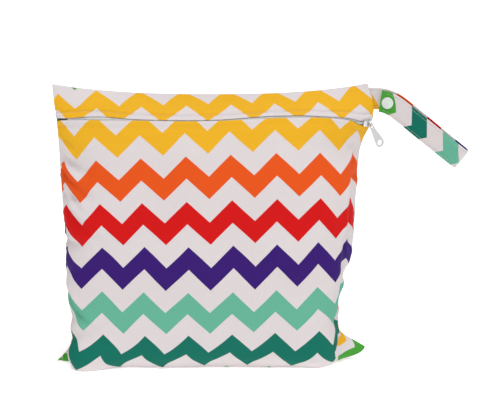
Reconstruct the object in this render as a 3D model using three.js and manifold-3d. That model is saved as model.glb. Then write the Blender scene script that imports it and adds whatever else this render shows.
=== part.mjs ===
// Cloth diaper wet bag: a zipped cloth bag that stands on its pressed base, with a snapped hang strap.
// Millimetres. +X is the bag's right as seen from the front, the front faces -Y and +Z is up.
// The origin is the middle of the base, on the surface that the bag stands on.

import * as THREE from 'three';
import { mergeVertices } from 'three/addons/utils/BufferGeometryUtils.js';
import Module from 'manifold-3d';

const wasm = await Module();
wasm.setup();

// Driving dimensions of the cloth
const bag_width = 300; // cloth between the side seams, laid flat
const cloth_height = 300; // cloth from the top seam to the middle of the base
const bag_depth = 92; // front to back where the bag is fullest
const seam_height = 251; // middle of the top seam above the base
const corner_height = 260; // top corners above the base
const wall = 1.5; // laminated knit with its turned edges
const base_press = 4; // how far the base would sag if nothing carried it
const fit_gap = 0.3; // between pieces that touch

// Driving dimensions of the zip
const top_strip_width = 33;
const zip_opening = 4; // between the two cloth edges
const coil_thickness = 1.4;
const tape_width = 11;
const tape_thickness = 0.7;
const zip_end_inset = 12; // tape ends to the side seams, along the cloth

// Driving dimensions of the slider and its tab
const slider_length = 9.5;
const slider_width = 7;
const slider_plate = 1.2;
const foot_plate = 0.9;
const slider_from_seam = 7; // slider's middle to the right side seam
const slider_lift = 0.5; // slider's plates to the cloth and the tapes
const bridge_wire = 1.2;
const bridge_breadth = 1.8;
const bridge_offset = 2; // bridge's middle past the slider's, towards the seam
const bridge_root = 0.5; // how deep the bridge's feet stand in the top plate
const plate_corner = 2; // corner radius of the slider's two plates
const foot_shorter = 3; // foot plate against the top plate
const foot_narrower = 2;
const neck_length = 2; // between the two plates, where the cloth edges part
const neck_setback = 0.6; // neck to the slider's end
const tab_length = 25;
const tab_head_width = 4.4;
const tab_end_width = 9;
const tab_hole = 4.8;
const tab_thickness = 1.2;
const tab_bar = 1.2; // the tab's bar under the bridge
const bar_clearance = 1.1; // either side of the bar under the bridge
const eye_clearance = 1.1; // past the bridge inside the tab's eye
const eye_rim = 1; // past the eye, where the stem starts to widen
const hinge_turn = 54; // degrees from the line of the zip down to the bridge

// Driving dimensions of the strap and its snap
const strap_width = 20;
const strap_thickness = 1.8;
const strap_reach = 101; // side seam to the fold
const strap_spread = 8; // between the two layers' middles, half way along
const strap_tuck = 5; // length held inside the side seam
const strap_free_end = 8; // free end to the side seam
const strap_slip = 1.5; // how far the front layer lies below the back one at its free end
const snap_from_end = 7.5;
const snap_cap = 11.6;
const snap_flange = 7.6;
const snap_stud = 3.4;
const snap_post = 2.4;
const snap_cap_height = 1.7;
const socket_height = 1.7;
const socket_depth = 1.2;
const stud_height = 1.1; // above its flange
const stud_flange_height = 0.7;

// Fineness of the surfaces
const row_steps = 96; // along the fine line that a row of cloth is measured on
const column_count = 26; // columns across the cloth
const column_even = 0.55; // 1 spaces the columns evenly, 0 crowds them to the seams
const normal_step = 0.012; // share of the cloth either way that a normal is taken over
const curve_steps = 5;
const tab_curve_steps = 9;
const turned_sides = 20;
const drill_sides = 16;
const fold_steps = 8; // round the strap's fold
const strip_rows = 5;
const tape_rows = 3;
const coil_rows = 1;
const column_margin = 0.01; // least share of the width from a strip's end to its next column

// Worked out from the sizes above
const half_width = bag_width / 2;
const half_depth = bag_depth / 2;
const strip_edge = top_strip_width / cloth_height;
const lip_edge = (top_strip_width + zip_opening) / cloth_height;
const zip_line = (strip_edge + lip_edge) / 2;

// Side seams. down: share of the cloth height from the top seam. out: share of half the width.
// back: share of half the depth behind the middle. up: share of the corner height.
const LEFT_SEAM = [
  { down: 0.0, out: 0.98, back: 0.0, up: 1.0 },
  { down: 0.06, out: 0.97, back: -0.03, up: 0.94 },
  { down: 0.12, out: 0.955, back: -0.06, up: 0.873 },
  { down: 0.2, out: 0.943, back: -0.1, up: 0.793 },
  { down: 0.35, out: 0.931, back: -0.12, up: 0.649 },
  { down: 0.45, out: 0.917, back: -0.12, up: 0.542 },
  { down: 0.53, out: 0.9, back: -0.12, up: 0.466 },
  { down: 0.6, out: 0.908, back: -0.12, up: 0.397 },
  { down: 0.68, out: 0.908, back: -0.12, up: 0.313 },
  { down: 0.76, out: 0.89, back: -0.12, up: 0.229 },
  { down: 0.83, out: 0.87, back: -0.12, up: 0.158 },
  { down: 0.89, out: 0.872, back: -0.13, up: 0.1 },
  { down: 0.94, out: 0.905, back: -0.18, up: 0.05 },
  { down: 1.0, out: 0.972, back: -0.32, up: 0.01 },
];
const RIGHT_SEAM = [
  { down: 0.0, out: 0.95, back: 0.08, up: 1.0 },
  { down: 0.06, out: 0.985, back: 0.08, up: 0.933 },
  { down: 0.09, out: 0.988, back: 0.08, up: 0.897 },
  { down: 0.12, out: 0.972, back: 0.12, up: 0.857 },
  { down: 0.17, out: 0.93, back: 0.22, up: 0.802 },
  { down: 0.22, out: 0.907, back: 0.3, up: 0.748 },
  { down: 0.3, out: 0.895, back: 0.34, up: 0.656 },
  { down: 0.4, out: 0.885, back: 0.36, up: 0.553 },
  { down: 0.5, out: 0.872, back: 0.36, up: 0.447 },
  { down: 0.57, out: 0.855, back: 0.35, up: 0.374 },
  { down: 0.63, out: 0.822, back: 0.33, up: 0.315 },
  { down: 0.7, out: 0.793, back: 0.3, up: 0.25 },
  { down: 0.79, out: 0.785, back: 0.26, up: 0.165 },
  { down: 0.87, out: 0.79, back: 0.2, up: 0.108 },
  { down: 0.92, out: 0.83, back: 0.12, up: 0.086 },
  { down: 0.96, out: 0.89, back: 0.06, up: 0.068 },
  { down: 1.0, out: 0.952, back: 0.0, up: 0.05 },
];

// Profiles down the middle. bulge: share of half the depth. up: share of the seam height.
// Where up is 0 the cloth lies in the base.
const FRONT_PROFILE = [
  { down: 0.0, bulge: 0.0, up: 1.0 },
  { down: 0.03, bulge: 0.17, up: 0.981 },
  { down: 0.065, bulge: 0.36, up: 0.952 },
  { down: 0.11, bulge: 0.53, up: 0.911 },
  { down: 0.2, bulge: 0.7, up: 0.81 },
  { down: 0.3, bulge: 0.825, up: 0.695 },
  { down: 0.45, bulge: 0.935, up: 0.519 },
  { down: 0.6, bulge: 0.98, up: 0.342 },
  { down: 0.75, bulge: 0.955, up: 0.164 },
  { down: 0.82, bulge: 0.9, up: 0.08 },
  { down: 0.86, bulge: 0.83, up: 0.04 },
  { down: 0.89, bulge: 0.7, up: 0.019 },
  { down: 0.92, bulge: 0.5, up: 0.006 },
  { down: 0.95, bulge: 0.31, up: 0.0 },
  { down: 1.0, bulge: 0.0, up: 0.0 },
];
const BACK_PROFILE = [
  { down: 0.0, bulge: 0.0, up: 1.0 },
  { down: 0.05, bulge: 0.17, up: 0.95 },
  { down: 0.1, bulge: 0.32, up: 0.898 },
  { down: 0.2, bulge: 0.57, up: 0.787 },
  { down: 0.35, bulge: 0.83, up: 0.617 },
  { down: 0.5, bulge: 0.98, up: 0.443 },
  { down: 0.65, bulge: 1.02, up: 0.266 },
  { down: 0.78, bulge: 0.97, up: 0.113 },
  { down: 0.84, bulge: 0.88, up: 0.045 },
  { down: 0.88, bulge: 0.75, up: 0.0 },
  { down: 0.94, bulge: 0.38, up: 0.0 },
  { down: 1.0, bulge: 0.0, up: 0.0 },
];

// How each row runs from seam to middle: (1 - x^square)^round, and how far the hollow stays
// from the seam, as a share of half the width
const ROW_SHAPE = [
  { down: 0.0, square: 2.6, round: 1.0, closed: 0.0 },
  { down: 0.12, square: 2.6, round: 0.7, closed: 0.03 },
  { down: 0.2, square: 2.7, round: 0.6, closed: 0.025 },
  { down: 0.35, square: 3.0, round: 0.42, closed: 0.015 },
  { down: 0.6, square: 3.4, round: 0.33, closed: 0.012 },
  { down: 0.8, square: 4.2, round: 0.28, closed: 0.03 },
  { down: 0.88, square: 4.6, round: 0.3, closed: 0.08 },
  { down: 0.95, square: 4.6, round: 0.45, closed: 0.17 },
  { down: 1.0, square: 4.4, round: 0.5, closed: 0.24 },
];

// Corners of the base, which stand out past its round rows. face: -1 front, 1 back. side: -1 left, 1 right.
// out, ahead: how far the corner moves sideways and away from the middle, as shares of half the depth.
// sink: how far it settles, as a share of half the depth.
const BASE_CORNERS = [
  { face: -1, side: -1, out: 0.26, ahead: 0.32, sink: 0.18 },
  { face: -1, side: 1, out: 0.06, ahead: 0.12, sink: 0.12 },
  { face: 1, side: -1, out: 0.08, ahead: 0.14, sink: 0.14 },
  { face: 1, side: 1, out: 0.08, ahead: 0.14, sink: 0.12 },
];
const corner_place = { down: 0.885, tall: 0.06, across: 0.84, broad: 0.17, seam: 0.04 };

// Where the two faces stand apart near the top seam. below: share of the height below the zip in which
// they close again. strap: share of the width where the back starts to clear the strap's sewn end.
const spread_place = { below: 0.2, strap: 0.95, ramp: 0.03 };

// Dents pressed into the cloth. face: 0 front, 1 back. across: share of the width from the left seam.
// long, wide: half lengths as shares of the width. deep: share of half the depth.
// lean: degrees that the long way turns from level, rising to the right.
const FOLDS = [
  { face: 0, down: 0.19, across: 0.03, long: 0.07, wide: 0.014, deep: 0.07, lean: -38 },
  { face: 0, down: 0.26, across: 0.05, long: 0.06, wide: 0.015, deep: 0.06, lean: -20 },
  { face: 0, down: 0.37, across: 0.07, long: 0.08, wide: 0.018, deep: 0.06, lean: 12 },
  { face: 0, down: 0.5, across: 0.04, long: 0.06, wide: 0.018, deep: 0.05, lean: -8 },
  { face: 0, down: 0.78, across: 0.05, long: 0.07, wide: 0.02, deep: 0.07, lean: 35 },
  { face: 0, down: 0.17, across: 0.955, long: 0.05, wide: 0.013, deep: 0.09, lean: 60 },
  { face: 0, down: 0.29, across: 0.96, long: 0.06, wide: 0.016, deep: 0.06, lean: 25 },
  { face: 0, down: 0.47, across: 0.935, long: 0.14, wide: 0.02, deep: 0.09, lean: 84 },
  { face: 0, down: 0.62, across: 0.95, long: 0.09, wide: 0.02, deep: 0.1, lean: -40 },
  { face: 0, down: 0.79, across: 0.94, long: 0.07, wide: 0.02, deep: 0.07, lean: -25 },
  { face: 1, down: 0.2, across: 0.06, long: 0.07, wide: 0.016, deep: 0.07, lean: -30 },
  { face: 1, down: 0.42, across: 0.06, long: 0.08, wide: 0.02, deep: 0.07, lean: 6 },
  { face: 1, down: 0.66, across: 0.05, long: 0.08, wide: 0.02, deep: 0.08, lean: 20 },
  { face: 1, down: 0.22, across: 0.94, long: 0.07, wide: 0.016, deep: 0.07, lean: 32 },
  { face: 1, down: 0.45, across: 0.94, long: 0.08, wide: 0.02, deep: 0.08, lean: -8 },
  { face: 1, down: 0.7, across: 0.94, long: 0.08, wide: 0.02, deep: 0.08, lean: -22 },
];

// How far dents keep off the zip, as a share of the height, and off the seams, as a share of the width
const dent_margin = { zip: 0.04, seam: 0.02 };

// Rows of the body panel below the zip: how many there are down to each share of the cloth's height
const BODY_ROWS = [
  { to: 0.35, count: 9 },
  { to: 0.8, count: 11 },
  { to: 1, count: 8 },
];

// Rows behind the zip and the top strip, as shares from the front strip's edge level up to the back seam
const BACK_ROWS = [0, 0.33, 0.67, 1];

// The strap's middle line. along: share of its reach. droop, yaw: degrees below level and forward.
const STRAP_ROUTE = [
  { along: 0.0, droop: 0, yaw: 0 },
  { along: 0.05, droop: 4, yaw: 3 },
  { along: 0.15, droop: 20, yaw: 10 },
  { along: 0.26, droop: 35, yaw: 14 },
  { along: 0.5, droop: 38, yaw: 15 },
  { along: 1.1, droop: 37, yaw: 15 },
];

// Where the strap's two layers have their stations, in millimetres from the side seam
const BACK_LAYER = [0, 6, 13, 21, 30, 45, 62, 80, 96];
const FRONT_LAYER = [96, 80, 62, 45, 33];
const station_clearance = 2; // least length from the flat part at the snap to the next station
const cap_inset = 1; // how far inside the cap's edge the last station before the free end lies
const front_ease = 1.6; // how soon the front layer leaves the snap's height for the fold's

// A snap's cap from its foot to its top. out: share of its diameter. up: share of its height.
const CAP_PROFILE = [
  { out: 0.5, up: 0 },
  { out: 0.5, up: 0.45 },
  { out: 0.42, up: 0.85 },
  { out: 0.3, up: 1 },
  { out: 0, up: 1 },
];

const clamp = (x, low, high) => Math.min(high, Math.max(low, x));
const smooth = (x) => clamp(x, 0, 1) ** 2 * (3 - 2 * clamp(x, 0, 1));
const vec = (x, y, z) => new THREE.Vector3(x, y, z);

// A table's column at one place, by a cubic through its rows
function read(table, key, name, at) {
  const last = table.length - 1;
  const x = clamp(at, table[0][key], table[last][key]);
  let i = 0;
  while (i < last - 1 && x > table[i + 1][key]) i += 1;
  const slope = (n) => {
    const a = table[Math.max(n - 1, 0)];
    const b = table[Math.min(n + 1, last)];
    return (b[name] - a[name]) / (b[key] - a[key]);
  };
  const [a, b] = [table[i], table[i + 1]];
  const span = b[key] - a[key];
  const s = (x - a[key]) / span;
  const h = s * s * (3 - 2 * s);
  const bend = s * (1 - s) * span * (slope(i) * (1 - s) - slope(i + 1) * s);
  return a[name] + (b[name] - a[name]) * h + bend;
}

// A point of a side seam. side: -1 left, 1 right.
function seam_point(side, down) {
  const table = side < 0 ? LEFT_SEAM : RIGHT_SEAM;
  return vec(
    side * half_width * read(table, 'down', 'out', down),
    half_depth * read(table, 'down', 'back', down),
    corner_height * read(table, 'down', 'up', down),
  );
}

// The middle of one row. face: -1 front, 1 back.
function middle_point(face, down) {
  const table = face < 0 ? FRONT_PROFILE : BACK_PROFILE;
  const up = seam_height * read(table, 'down', 'up', down);
  const sag = base_press * smooth(1 - up / (2 * base_press));
  return vec(0, face * half_depth * read(table, 'down', 'bulge', down), up - sag);
}

// How far a face stands off the seams' own plane near the top seam, and behind the strap's end
function seam_spread(face, down, across) {
  const { below, strap: strap_from, ramp } = spread_place;
  const fade = smooth(1 - (down - lip_edge) / below);
  const strap = face > 0 ? smooth((across - strap_from) / ramp) * smooth((lip_edge - down) / ramp) : 0;
  return fade * (wall + fit_gap / 2) + strap * (strap_thickness + 2 * fit_gap);
}

// Moves a point of one row where a corner of the base is. a: -1 at the left seam, 1 at the right one.
function push_corner(point, face, down, a) {
  const corner = BASE_CORNERS.find((c) => c.face === face && c.side === (a < 0 ? -1 : 1));
  const off_row = (down - corner_place.down) / corner_place.tall;
  const off_side = (Math.abs(a) - corner_place.across) / corner_place.broad;
  const at_seam = smooth((1 - Math.abs(a)) / corner_place.seam);
  const amount = half_depth * Math.exp(-(off_row ** 2) - off_side ** 2) * at_seam;
  point.x += corner.side * corner.out * amount;
  point.y += corner.face * corner.ahead * amount;
  point.z -= corner.sink * amount;
}

// One row of cloth as a fine line from the left seam to the right one, with its running length
const row_cache = new Map();
function row(face, down) {
  const key = `${face} ${down}`;
  if (!row_cache.has(key)) {
    const [left, right] = [seam_point(-1, down), seam_point(1, down)];
    const middle = middle_point(face, down);
    const square = read(ROW_SHAPE, 'down', 'square', down);
    const round = read(ROW_SHAPE, 'down', 'round', down);
    const points = [];
    const lengths = [0];
    for (let k = 0; k <= row_steps; k += 1) {
      const a = Math.sin((Math.PI / 2) * ((2 * k) / row_steps - 1));
      const rise = Math.max(0, 1 - Math.abs(a) ** square) ** round;
      const p = left.clone().lerp(right, (a + 1) / 2);
      p.y += (middle.y - p.y) * rise;
      p.z += (middle.z - p.z) * rise;
      push_corner(p, face, down, a);
      points.push(p);
      if (k > 0) lengths.push(lengths[k - 1] + p.distanceTo(points[k - 1]));
    }
    row_cache.set(key, { points, lengths });
  }
  return row_cache.get(key);
}

// A point of the smooth cloth. run: 0 at the top seam in front, 1 mid base, 2 at the top seam behind.
function smooth_point(run, across) {
  const face = run <= 1 ? -1 : 1;
  const down = run <= 1 ? run : 2 - run;
  const { points, lengths } = row(face, down);
  const want = across * lengths[lengths.length - 1];
  let k = 1;
  while (k < lengths.length - 1 && lengths[k] < want) k += 1;
  const share = (want - lengths[k - 1]) / (lengths[k] - lengths[k - 1]);
  const p = points[k - 1].clone().lerp(points[k], share);
  p.y += face * seam_spread(face, down, across);
  return p;
}

// The cloth's outward normal
function outward(run, across) {
  const run_at = (step) => smooth_point(clamp(run + step, 0, 2), across);
  const share_at = (step) => smooth_point(run, clamp(across + step, 0, 1));
  const down = run_at(normal_step).sub(run_at(-normal_step));
  const over = share_at(normal_step).sub(share_at(-normal_step));
  return down.cross(over).normalize();
}

// How deep the dents are at one place, in millimetres
function dent(run, across) {
  const face = run <= 1 ? 0 : 1;
  const down = run <= 1 ? run : 2 - run;
  let deep = 0;
  for (const fold of FOLDS.filter((f) => f.face === face)) {
    const x = (across - fold.across) * bag_width;
    const z = (fold.down - down) * cloth_height;
    const lean = THREE.MathUtils.degToRad(fold.lean);
    const along = x * Math.cos(lean) + z * Math.sin(lean);
    const off = z * Math.cos(lean) - x * Math.sin(lean);
    const [long, wide] = [fold.long * bag_width, fold.wide * bag_width];
    deep += fold.deep * half_depth * Math.exp(-((along / long) ** 2) - (off / wide) ** 2);
  }
  const clear_of_zip = smooth((down - lip_edge - tape_width / cloth_height) / dent_margin.zip);
  const clear_of_seam = smooth(Math.min(across, 1 - across) / dent_margin.seam);
  return deep * clear_of_zip * clear_of_seam;
}

// A point of the cloth, so far below its outer face
function cloth_point(run, across, depth) {
  const p = smooth_point(run, across);
  const deep = depth + dent(run, across);
  if (deep !== 0) p.addScaledVector(outward(run, across), -deep);
  p.z = Math.max(p.z, depth);
  return p;
}

// A closed body from loose triangles
function body(triangles) {
  const geometry = new THREE.BufferGeometry();
  const flat = triangles.flatMap((p) => [p.x, p.y, p.z]);
  geometry.setAttribute('position', new THREE.Float32BufferAttribute(flat, 3));
  return mergeVertices(geometry, 1e-4);
}

// Two triangles over four corners, seen anticlockwise from outside
function quad(triangles, a, b, c, d) {
  triangles.push(a, b, c, a, c, d);
}

// A flat piece of cloth or tape with thickness. outer and inner are grids of points, rows by columns.
function thick_sheet(outer, inner) {
  const triangles = [];
  const [rows, columns] = [outer.length - 1, outer[0].length - 1];
  for (let i = 0; i < rows; i += 1) {
    for (let j = 0; j < columns; j += 1) {
      quad(triangles, outer[i][j], outer[i + 1][j], outer[i + 1][j + 1], outer[i][j + 1]);
      quad(triangles, inner[i][j], inner[i][j + 1], inner[i + 1][j + 1], inner[i + 1][j]);
    }
    quad(triangles, outer[i][0], inner[i][0], inner[i + 1][0], outer[i + 1][0]);
    quad(triangles, outer[i][columns], outer[i + 1][columns], inner[i + 1][columns], inner[i][columns]);
  }
  for (let j = 0; j < columns; j += 1) {
    quad(triangles, outer[0][j], outer[0][j + 1], inner[0][j + 1], inner[0][j]);
    quad(triangles, outer[rows][j], inner[rows][j], inner[rows][j + 1], outer[rows][j + 1]);
  }
  return body(triangles);
}

// A strip of the front face between two places down it, from one depth below its surface to another
function face_strip(from, to, first, last, outer_depth, inner_depth, rows) {
  const between = column_shares().filter(
    (share) => share > first + column_margin && share < last - column_margin,
  );
  const shares = [first, ...between, last];
  const runs = Array.from({ length: rows + 1 }, (_, i) => from + ((to - from) * i) / rows);
  const grid = (depth) => runs.map((run) => shares.map((share) => cloth_point(run, share, depth)));
  return thick_sheet(grid(outer_depth), grid(inner_depth));
}

// Shares across the cloth, close together near the seams
function column_shares() {
  return Array.from({ length: column_count + 1 }, (_, j) => {
    const x = (2 * j) / column_count - 1;
    return 0.5 + 0.5 * (column_even * x + (1 - column_even) * Math.sin((Math.PI / 2) * x));
  });
}

// The places down the cloth where the body panel has its rows, from the front lip to the back seam.
// Front and back have the same ones below the zip, because their edges are sewn together there.
function body_runs() {
  const downs = [];
  let from = lip_edge;
  for (const { to, count } of BODY_ROWS) {
    for (let i = 0; i < count; i += 1) downs.push(from + ((to - from) * i) / count);
    from = to;
  }
  const behind = [...downs].reverse().map((down) => 2 - down);
  const above_zip = BACK_ROWS.map((share) => 2 - strip_edge * (1 - share));
  return [...downs, 1, ...behind, ...above_zip];
}

// The body panel: an outer skin and an inner one, closed at the side seams below the zip
function body_panel() {
  const shares = column_shares();
  const columns = shares.length - 1;
  const runs = body_runs();
  const mirror = (run) => 2 - run;
  const sewn = (run) => run <= mirror(lip_edge) + 1e-9;
  const closed = (run) => {
    const down = run <= 1 ? run : mirror(run);
    return sewn(run) ? read(ROW_SHAPE, 'down', 'closed', down) / 2 : 0;
  };
  const outer = runs.map((run) =>
    shares.map((share, j) => {
      const p = cloth_point(run, share, 0);
      const side = j === 0 ? -1 : 1;
      if (sewn(run) && (j === 0 || j === columns)) {
        const down = run <= 1 ? run : mirror(run);
        p.copy(seam_point(side, down));
        p.z = Math.max(p.z, 0);
      }
      return p;
    }),
  );
  const inner = runs.map((run) => {
    const inset = closed(run);
    return shares.map((share, j) => {
      const across = inset + (1 - 2 * inset) * share;
      const p = cloth_point(run, across, wall);
      if (sewn(run) && (j === 0 || j === columns)) p.lerp(cloth_point(mirror(run), across, wall), 0.5);
      p.z = Math.max(p.z, wall);
      return p;
    });
  });
  const triangles = [];
  const last = runs.length - 1;
  for (let i = 0; i < last; i += 1) {
    for (let j = 0; j < columns; j += 1) {
      quad(triangles, outer[i][j], outer[i + 1][j], outer[i + 1][j + 1], outer[i][j + 1]);
      quad(triangles, inner[i][j], inner[i][j + 1], inner[i + 1][j + 1], inner[i + 1][j]);
    }
    if (!sewn(runs[i + 1])) {
      quad(triangles, outer[i][0], inner[i][0], inner[i + 1][0], outer[i + 1][0]);
      quad(triangles, outer[i][columns], outer[i + 1][columns], inner[i + 1][columns], inner[i][columns]);
    }
  }
  for (let j = 0; j < columns; j += 1) {
    quad(triangles, outer[0][j], outer[0][j + 1], inner[0][j + 1], inner[0][j]);
    quad(triangles, outer[last][j], inner[last][j], inner[last][j + 1], outer[last][j + 1]);
  }
  return body(triangles);
}

// A three.js geometry as a solid for cutting
function solid(geometry) {
  const bare = geometry.clone();
  bare.deleteAttribute('normal');
  bare.deleteAttribute('uv');
  const merged = mergeVertices(bare, 1e-4);
  return new wasm.Manifold(
    new wasm.Mesh({
      numProp: 3,
      vertProperties: new Float32Array(merged.attributes.position.array),
      triVerts: new Uint32Array(merged.index.array),
    }),
  );
}

// A cut solid as a three.js geometry
function surface(shape) {
  const mesh = shape.getMesh();
  const geometry = new THREE.BufferGeometry();
  geometry.setAttribute('position', new THREE.BufferAttribute(mesh.vertProperties, 3));
  geometry.setIndex(new THREE.BufferAttribute(mesh.triVerts, 1));
  return geometry;
}

// The slider's own frame: x along the zip to the right, y up the cloth, z out of it
function slider_frame() {
  const across = 1 - slider_from_seam / bag_width;
  const step = slider_length / 2 / bag_width;
  const along = cloth_point(zip_line, across + step, 0).sub(cloth_point(zip_line, across - step, 0));
  const x = along.normalize();
  const z = outward(zip_line, across);
  z.addScaledVector(x, -z.dot(x)).normalize();
  const y = z.clone().cross(x);
  const frame = new THREE.Matrix4().makeBasis(x, y, z);
  return frame.setPosition(cloth_point(zip_line, across, 0));
}

// The tab's own frame: x along the tab as it hangs, y its hinge line, with its origin on that line
function tab_frame() {
  const hinge_height = slider_lift + slider_plate + bridge_wire / 2 + tab_thickness / 2 + fit_gap;
  const turn = new THREE.Matrix4().makeRotationZ(THREE.MathUtils.degToRad(-hinge_turn));
  const lift = new THREE.Matrix4().makeTranslation(bridge_offset, 0, hinge_height);
  const flat = slider_frame().multiply(lift).multiply(turn);
  const [x, y, z] = [vec(0, 0, 0), vec(0, 0, 0), vec(0, 0, 0)];
  flat.extractBasis(x, y, z);
  const hang = Math.atan2(-z.z, -x.z);
  return flat.multiply(new THREE.Matrix4().makeRotationY(-hang));
}

// A plate with round corners, centred, from one height to another
function plate(length, width, corner, bottom, top) {
  const [x, y] = [length / 2 - corner, width / 2 - corner];
  const shape = new THREE.Shape();
  shape.absarc(x, y, corner, 0, Math.PI / 2);
  shape.absarc(-x, y, corner, Math.PI / 2, Math.PI);
  shape.absarc(-x, -y, corner, Math.PI, Math.PI * 1.5);
  shape.absarc(x, -y, corner, Math.PI * 1.5, Math.PI * 2);
  const settings = { depth: top - bottom, bevelEnabled: false, curveSegments: curve_steps };
  return new THREE.ExtrudeGeometry(shape, settings).translate(0, 0, bottom);
}

// Where the slider's neck starts, from the slider's middle, and depths below the cloth's face
const neck_from = slider_length / 2 - neck_length - neck_setback;
const coil_bottom = fit_gap / 2 + coil_thickness;
const tape_top = Math.max(coil_bottom, wall) + 1.5 * fit_gap;
const tape_bottom = tape_top + tape_thickness;

function zipper_slider() {
  const top = plate(slider_length, slider_width, plate_corner, slider_lift, slider_lift + slider_plate);
  const foot_top = -tape_bottom - slider_lift;
  const [foot_length, foot_width] = [slider_length - foot_shorter, slider_width - foot_narrower];
  const foot = plate(foot_length, foot_width, plate_corner, foot_top - foot_plate, foot_top);
  const neck_height = slider_lift - foot_top + slider_plate;
  const neck = new THREE.BoxGeometry(neck_length, zip_opening - 2 * fit_gap, neck_height);
  neck.translate(neck_from + neck_length / 2, 0, slider_lift + slider_plate / 2 - neck_height / 2);
  const height = tab_thickness + 2 * fit_gap + bridge_wire / 2;
  const outside = bridge_reach + bridge_wire;
  const arch = new THREE.Shape();
  arch.moveTo(-outside, -bridge_root);
  arch.lineTo(-outside, height);
  arch.lineTo(-bridge_reach, height + bridge_wire);
  arch.lineTo(bridge_reach, height + bridge_wire);
  arch.lineTo(outside, height);
  arch.lineTo(outside, -bridge_root);
  arch.lineTo(bridge_reach, -bridge_root);
  arch.lineTo(bridge_reach, height);
  arch.lineTo(-bridge_reach, height);
  arch.lineTo(-bridge_reach, -bridge_root);
  const bridge = new THREE.ExtrudeGeometry(arch, { depth: bridge_breadth, bevelEnabled: false });
  bridge.translate(0, 0, -bridge_breadth / 2).rotateX(Math.PI / 2);
  bridge.rotateZ(THREE.MathUtils.degToRad(-hinge_turn));
  bridge.translate(bridge_offset, 0, slider_lift + slider_plate);
  return surface(solid(top).add(solid(foot)).add(solid(neck)).add(solid(bridge)));
}

// Half the clear length under the bridge, and the tab's eye that turns round it
const bridge_reach = tab_bar / 2 + bar_clearance;
const eye_end = bridge_reach + bridge_wire + eye_clearance;
const eye_width = bridge_breadth + 2 * fit_gap;

function pull_tab() {
  const [head, end] = [tab_head_width / 2, tab_end_width / 2];
  const centre = tab_length - end;
  const shape = new THREE.Shape();
  shape.moveTo(-tab_bar / 2, -head);
  shape.lineTo(eye_end + eye_rim, -head);
  shape.lineTo(centre - end * 0.5, -end * 0.9);
  shape.absarc(centre, 0, end, -Math.PI * 0.6, Math.PI * 0.6);
  shape.lineTo(eye_end + eye_rim, head);
  shape.lineTo(-tab_bar / 2, head);
  const eye = new THREE.Path();
  eye.moveTo(tab_bar / 2, -eye_width / 2);
  eye.lineTo(tab_bar / 2, eye_width / 2);
  eye.lineTo(eye_end, eye_width / 2);
  eye.lineTo(eye_end, -eye_width / 2);
  eye.closePath();
  const hole = new THREE.Path().absarc(centre, 0, tab_hole / 2, 0, Math.PI * 2, true);
  shape.holes.push(eye, hole);
  const settings = { depth: tab_thickness, bevelEnabled: false, curveSegments: tab_curve_steps };
  const geometry = new THREE.ExtrudeGeometry(shape, settings);
  return surface(solid(geometry.translate(0, 0, -tab_thickness / 2)));
}

// The strap's middle line as points with their directions, worked out step by step from the seam
const strap_seat = 0.047; // share of the cloth height where the strap's middle leaves the seam
const strap_step = 1; // from one point of the strap's line to the next
function strap_line() {
  const line = [];
  const point = seam_point(1, strap_seat).add(vec(-strap_tuck, strap_thickness / 2 + fit_gap, 0));
  const count = Math.ceil((strap_reach + strap_tuck + strap_spread) / strap_step);
  for (let k = 0; k <= count; k += 1) {
    const along = k * strap_step - strap_tuck;
    const share = along / strap_reach;
    const droop = THREE.MathUtils.degToRad(read(STRAP_ROUTE, 'along', 'droop', share));
    const yaw = THREE.MathUtils.degToRad(read(STRAP_ROUTE, 'along', 'yaw', share));
    const level = vec(Math.cos(yaw), -Math.sin(yaw), 0);
    const ahead = level.clone().multiplyScalar(Math.cos(droop)).add(vec(0, 0, -Math.sin(droop)));
    const wide = level.clone().multiplyScalar(Math.sin(droop)).add(vec(0, 0, Math.cos(droop)));
    line.push({ point: point.clone(), ahead, wide, front: wide.clone().cross(ahead).negate() });
    point.addScaledVector(ahead, strap_step);
  }
  return line;
}

// The strap's line at one length from the seam
function strap_at(line, along) {
  const index = clamp((along + strap_tuck) / strap_step, 0, line.length - 1);
  const k = Math.min(Math.floor(index), line.length - 2);
  const s = index - k;
  const [a, b] = [line[k], line[k + 1]];
  return {
    point: a.point.clone().lerp(b.point, s),
    ahead: a.ahead.clone().lerp(b.ahead, s).normalize(),
    wide: a.wide.clone().lerp(b.wide, s).normalize(),
    front: a.front.clone().lerp(b.front, s).normalize(),
  };
}

// The layers' middles lie this far apart at the snap, and the snap's two halves fill the space
const snap_stack = socket_height + stud_flange_height + 3 * fit_gap + strap_thickness;
const snap_along = strap_free_end + snap_from_end;

// The strap seen edge on: how far along it and how far in front of the back layer, down the back
// layer, round the fold and back to the free end
function strap_course() {
  const fold_radius = strap_spread / 2;
  const turn = strap_reach - fold_radius;
  const flat_to = snap_along + snap_cap / 2;
  const course = [-strap_tuck, ...BACK_LAYER.filter((a) => a < turn)].map((along) => ({ along, off: 0 }));
  for (let k = 0; k <= fold_steps; k += 1) {
    const angle = (Math.PI * k) / fold_steps;
    course.push({ along: turn + fold_radius * Math.sin(angle), off: fold_radius * (1 - Math.cos(angle)) });
  }
  for (const along of FRONT_LAYER.filter((a) => a < turn && a > flat_to + station_clearance)) {
    const share = (along - snap_along) / (turn - snap_along);
    course.push({ along, off: snap_stack + (strap_spread - snap_stack) * smooth(share * front_ease) });
  }
  for (const along of [flat_to, snap_along - snap_cap / 2 + cap_inset, strap_free_end]) {
    course.push({ along, off: snap_stack });
  }
  return course;
}

// How far one station of the course slips down, none on the back layer
const slip_at = (off, along) =>
  -strap_slip * clamp(off / snap_stack, 0, 1) * smooth(1 - along / strap_reach);

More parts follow.
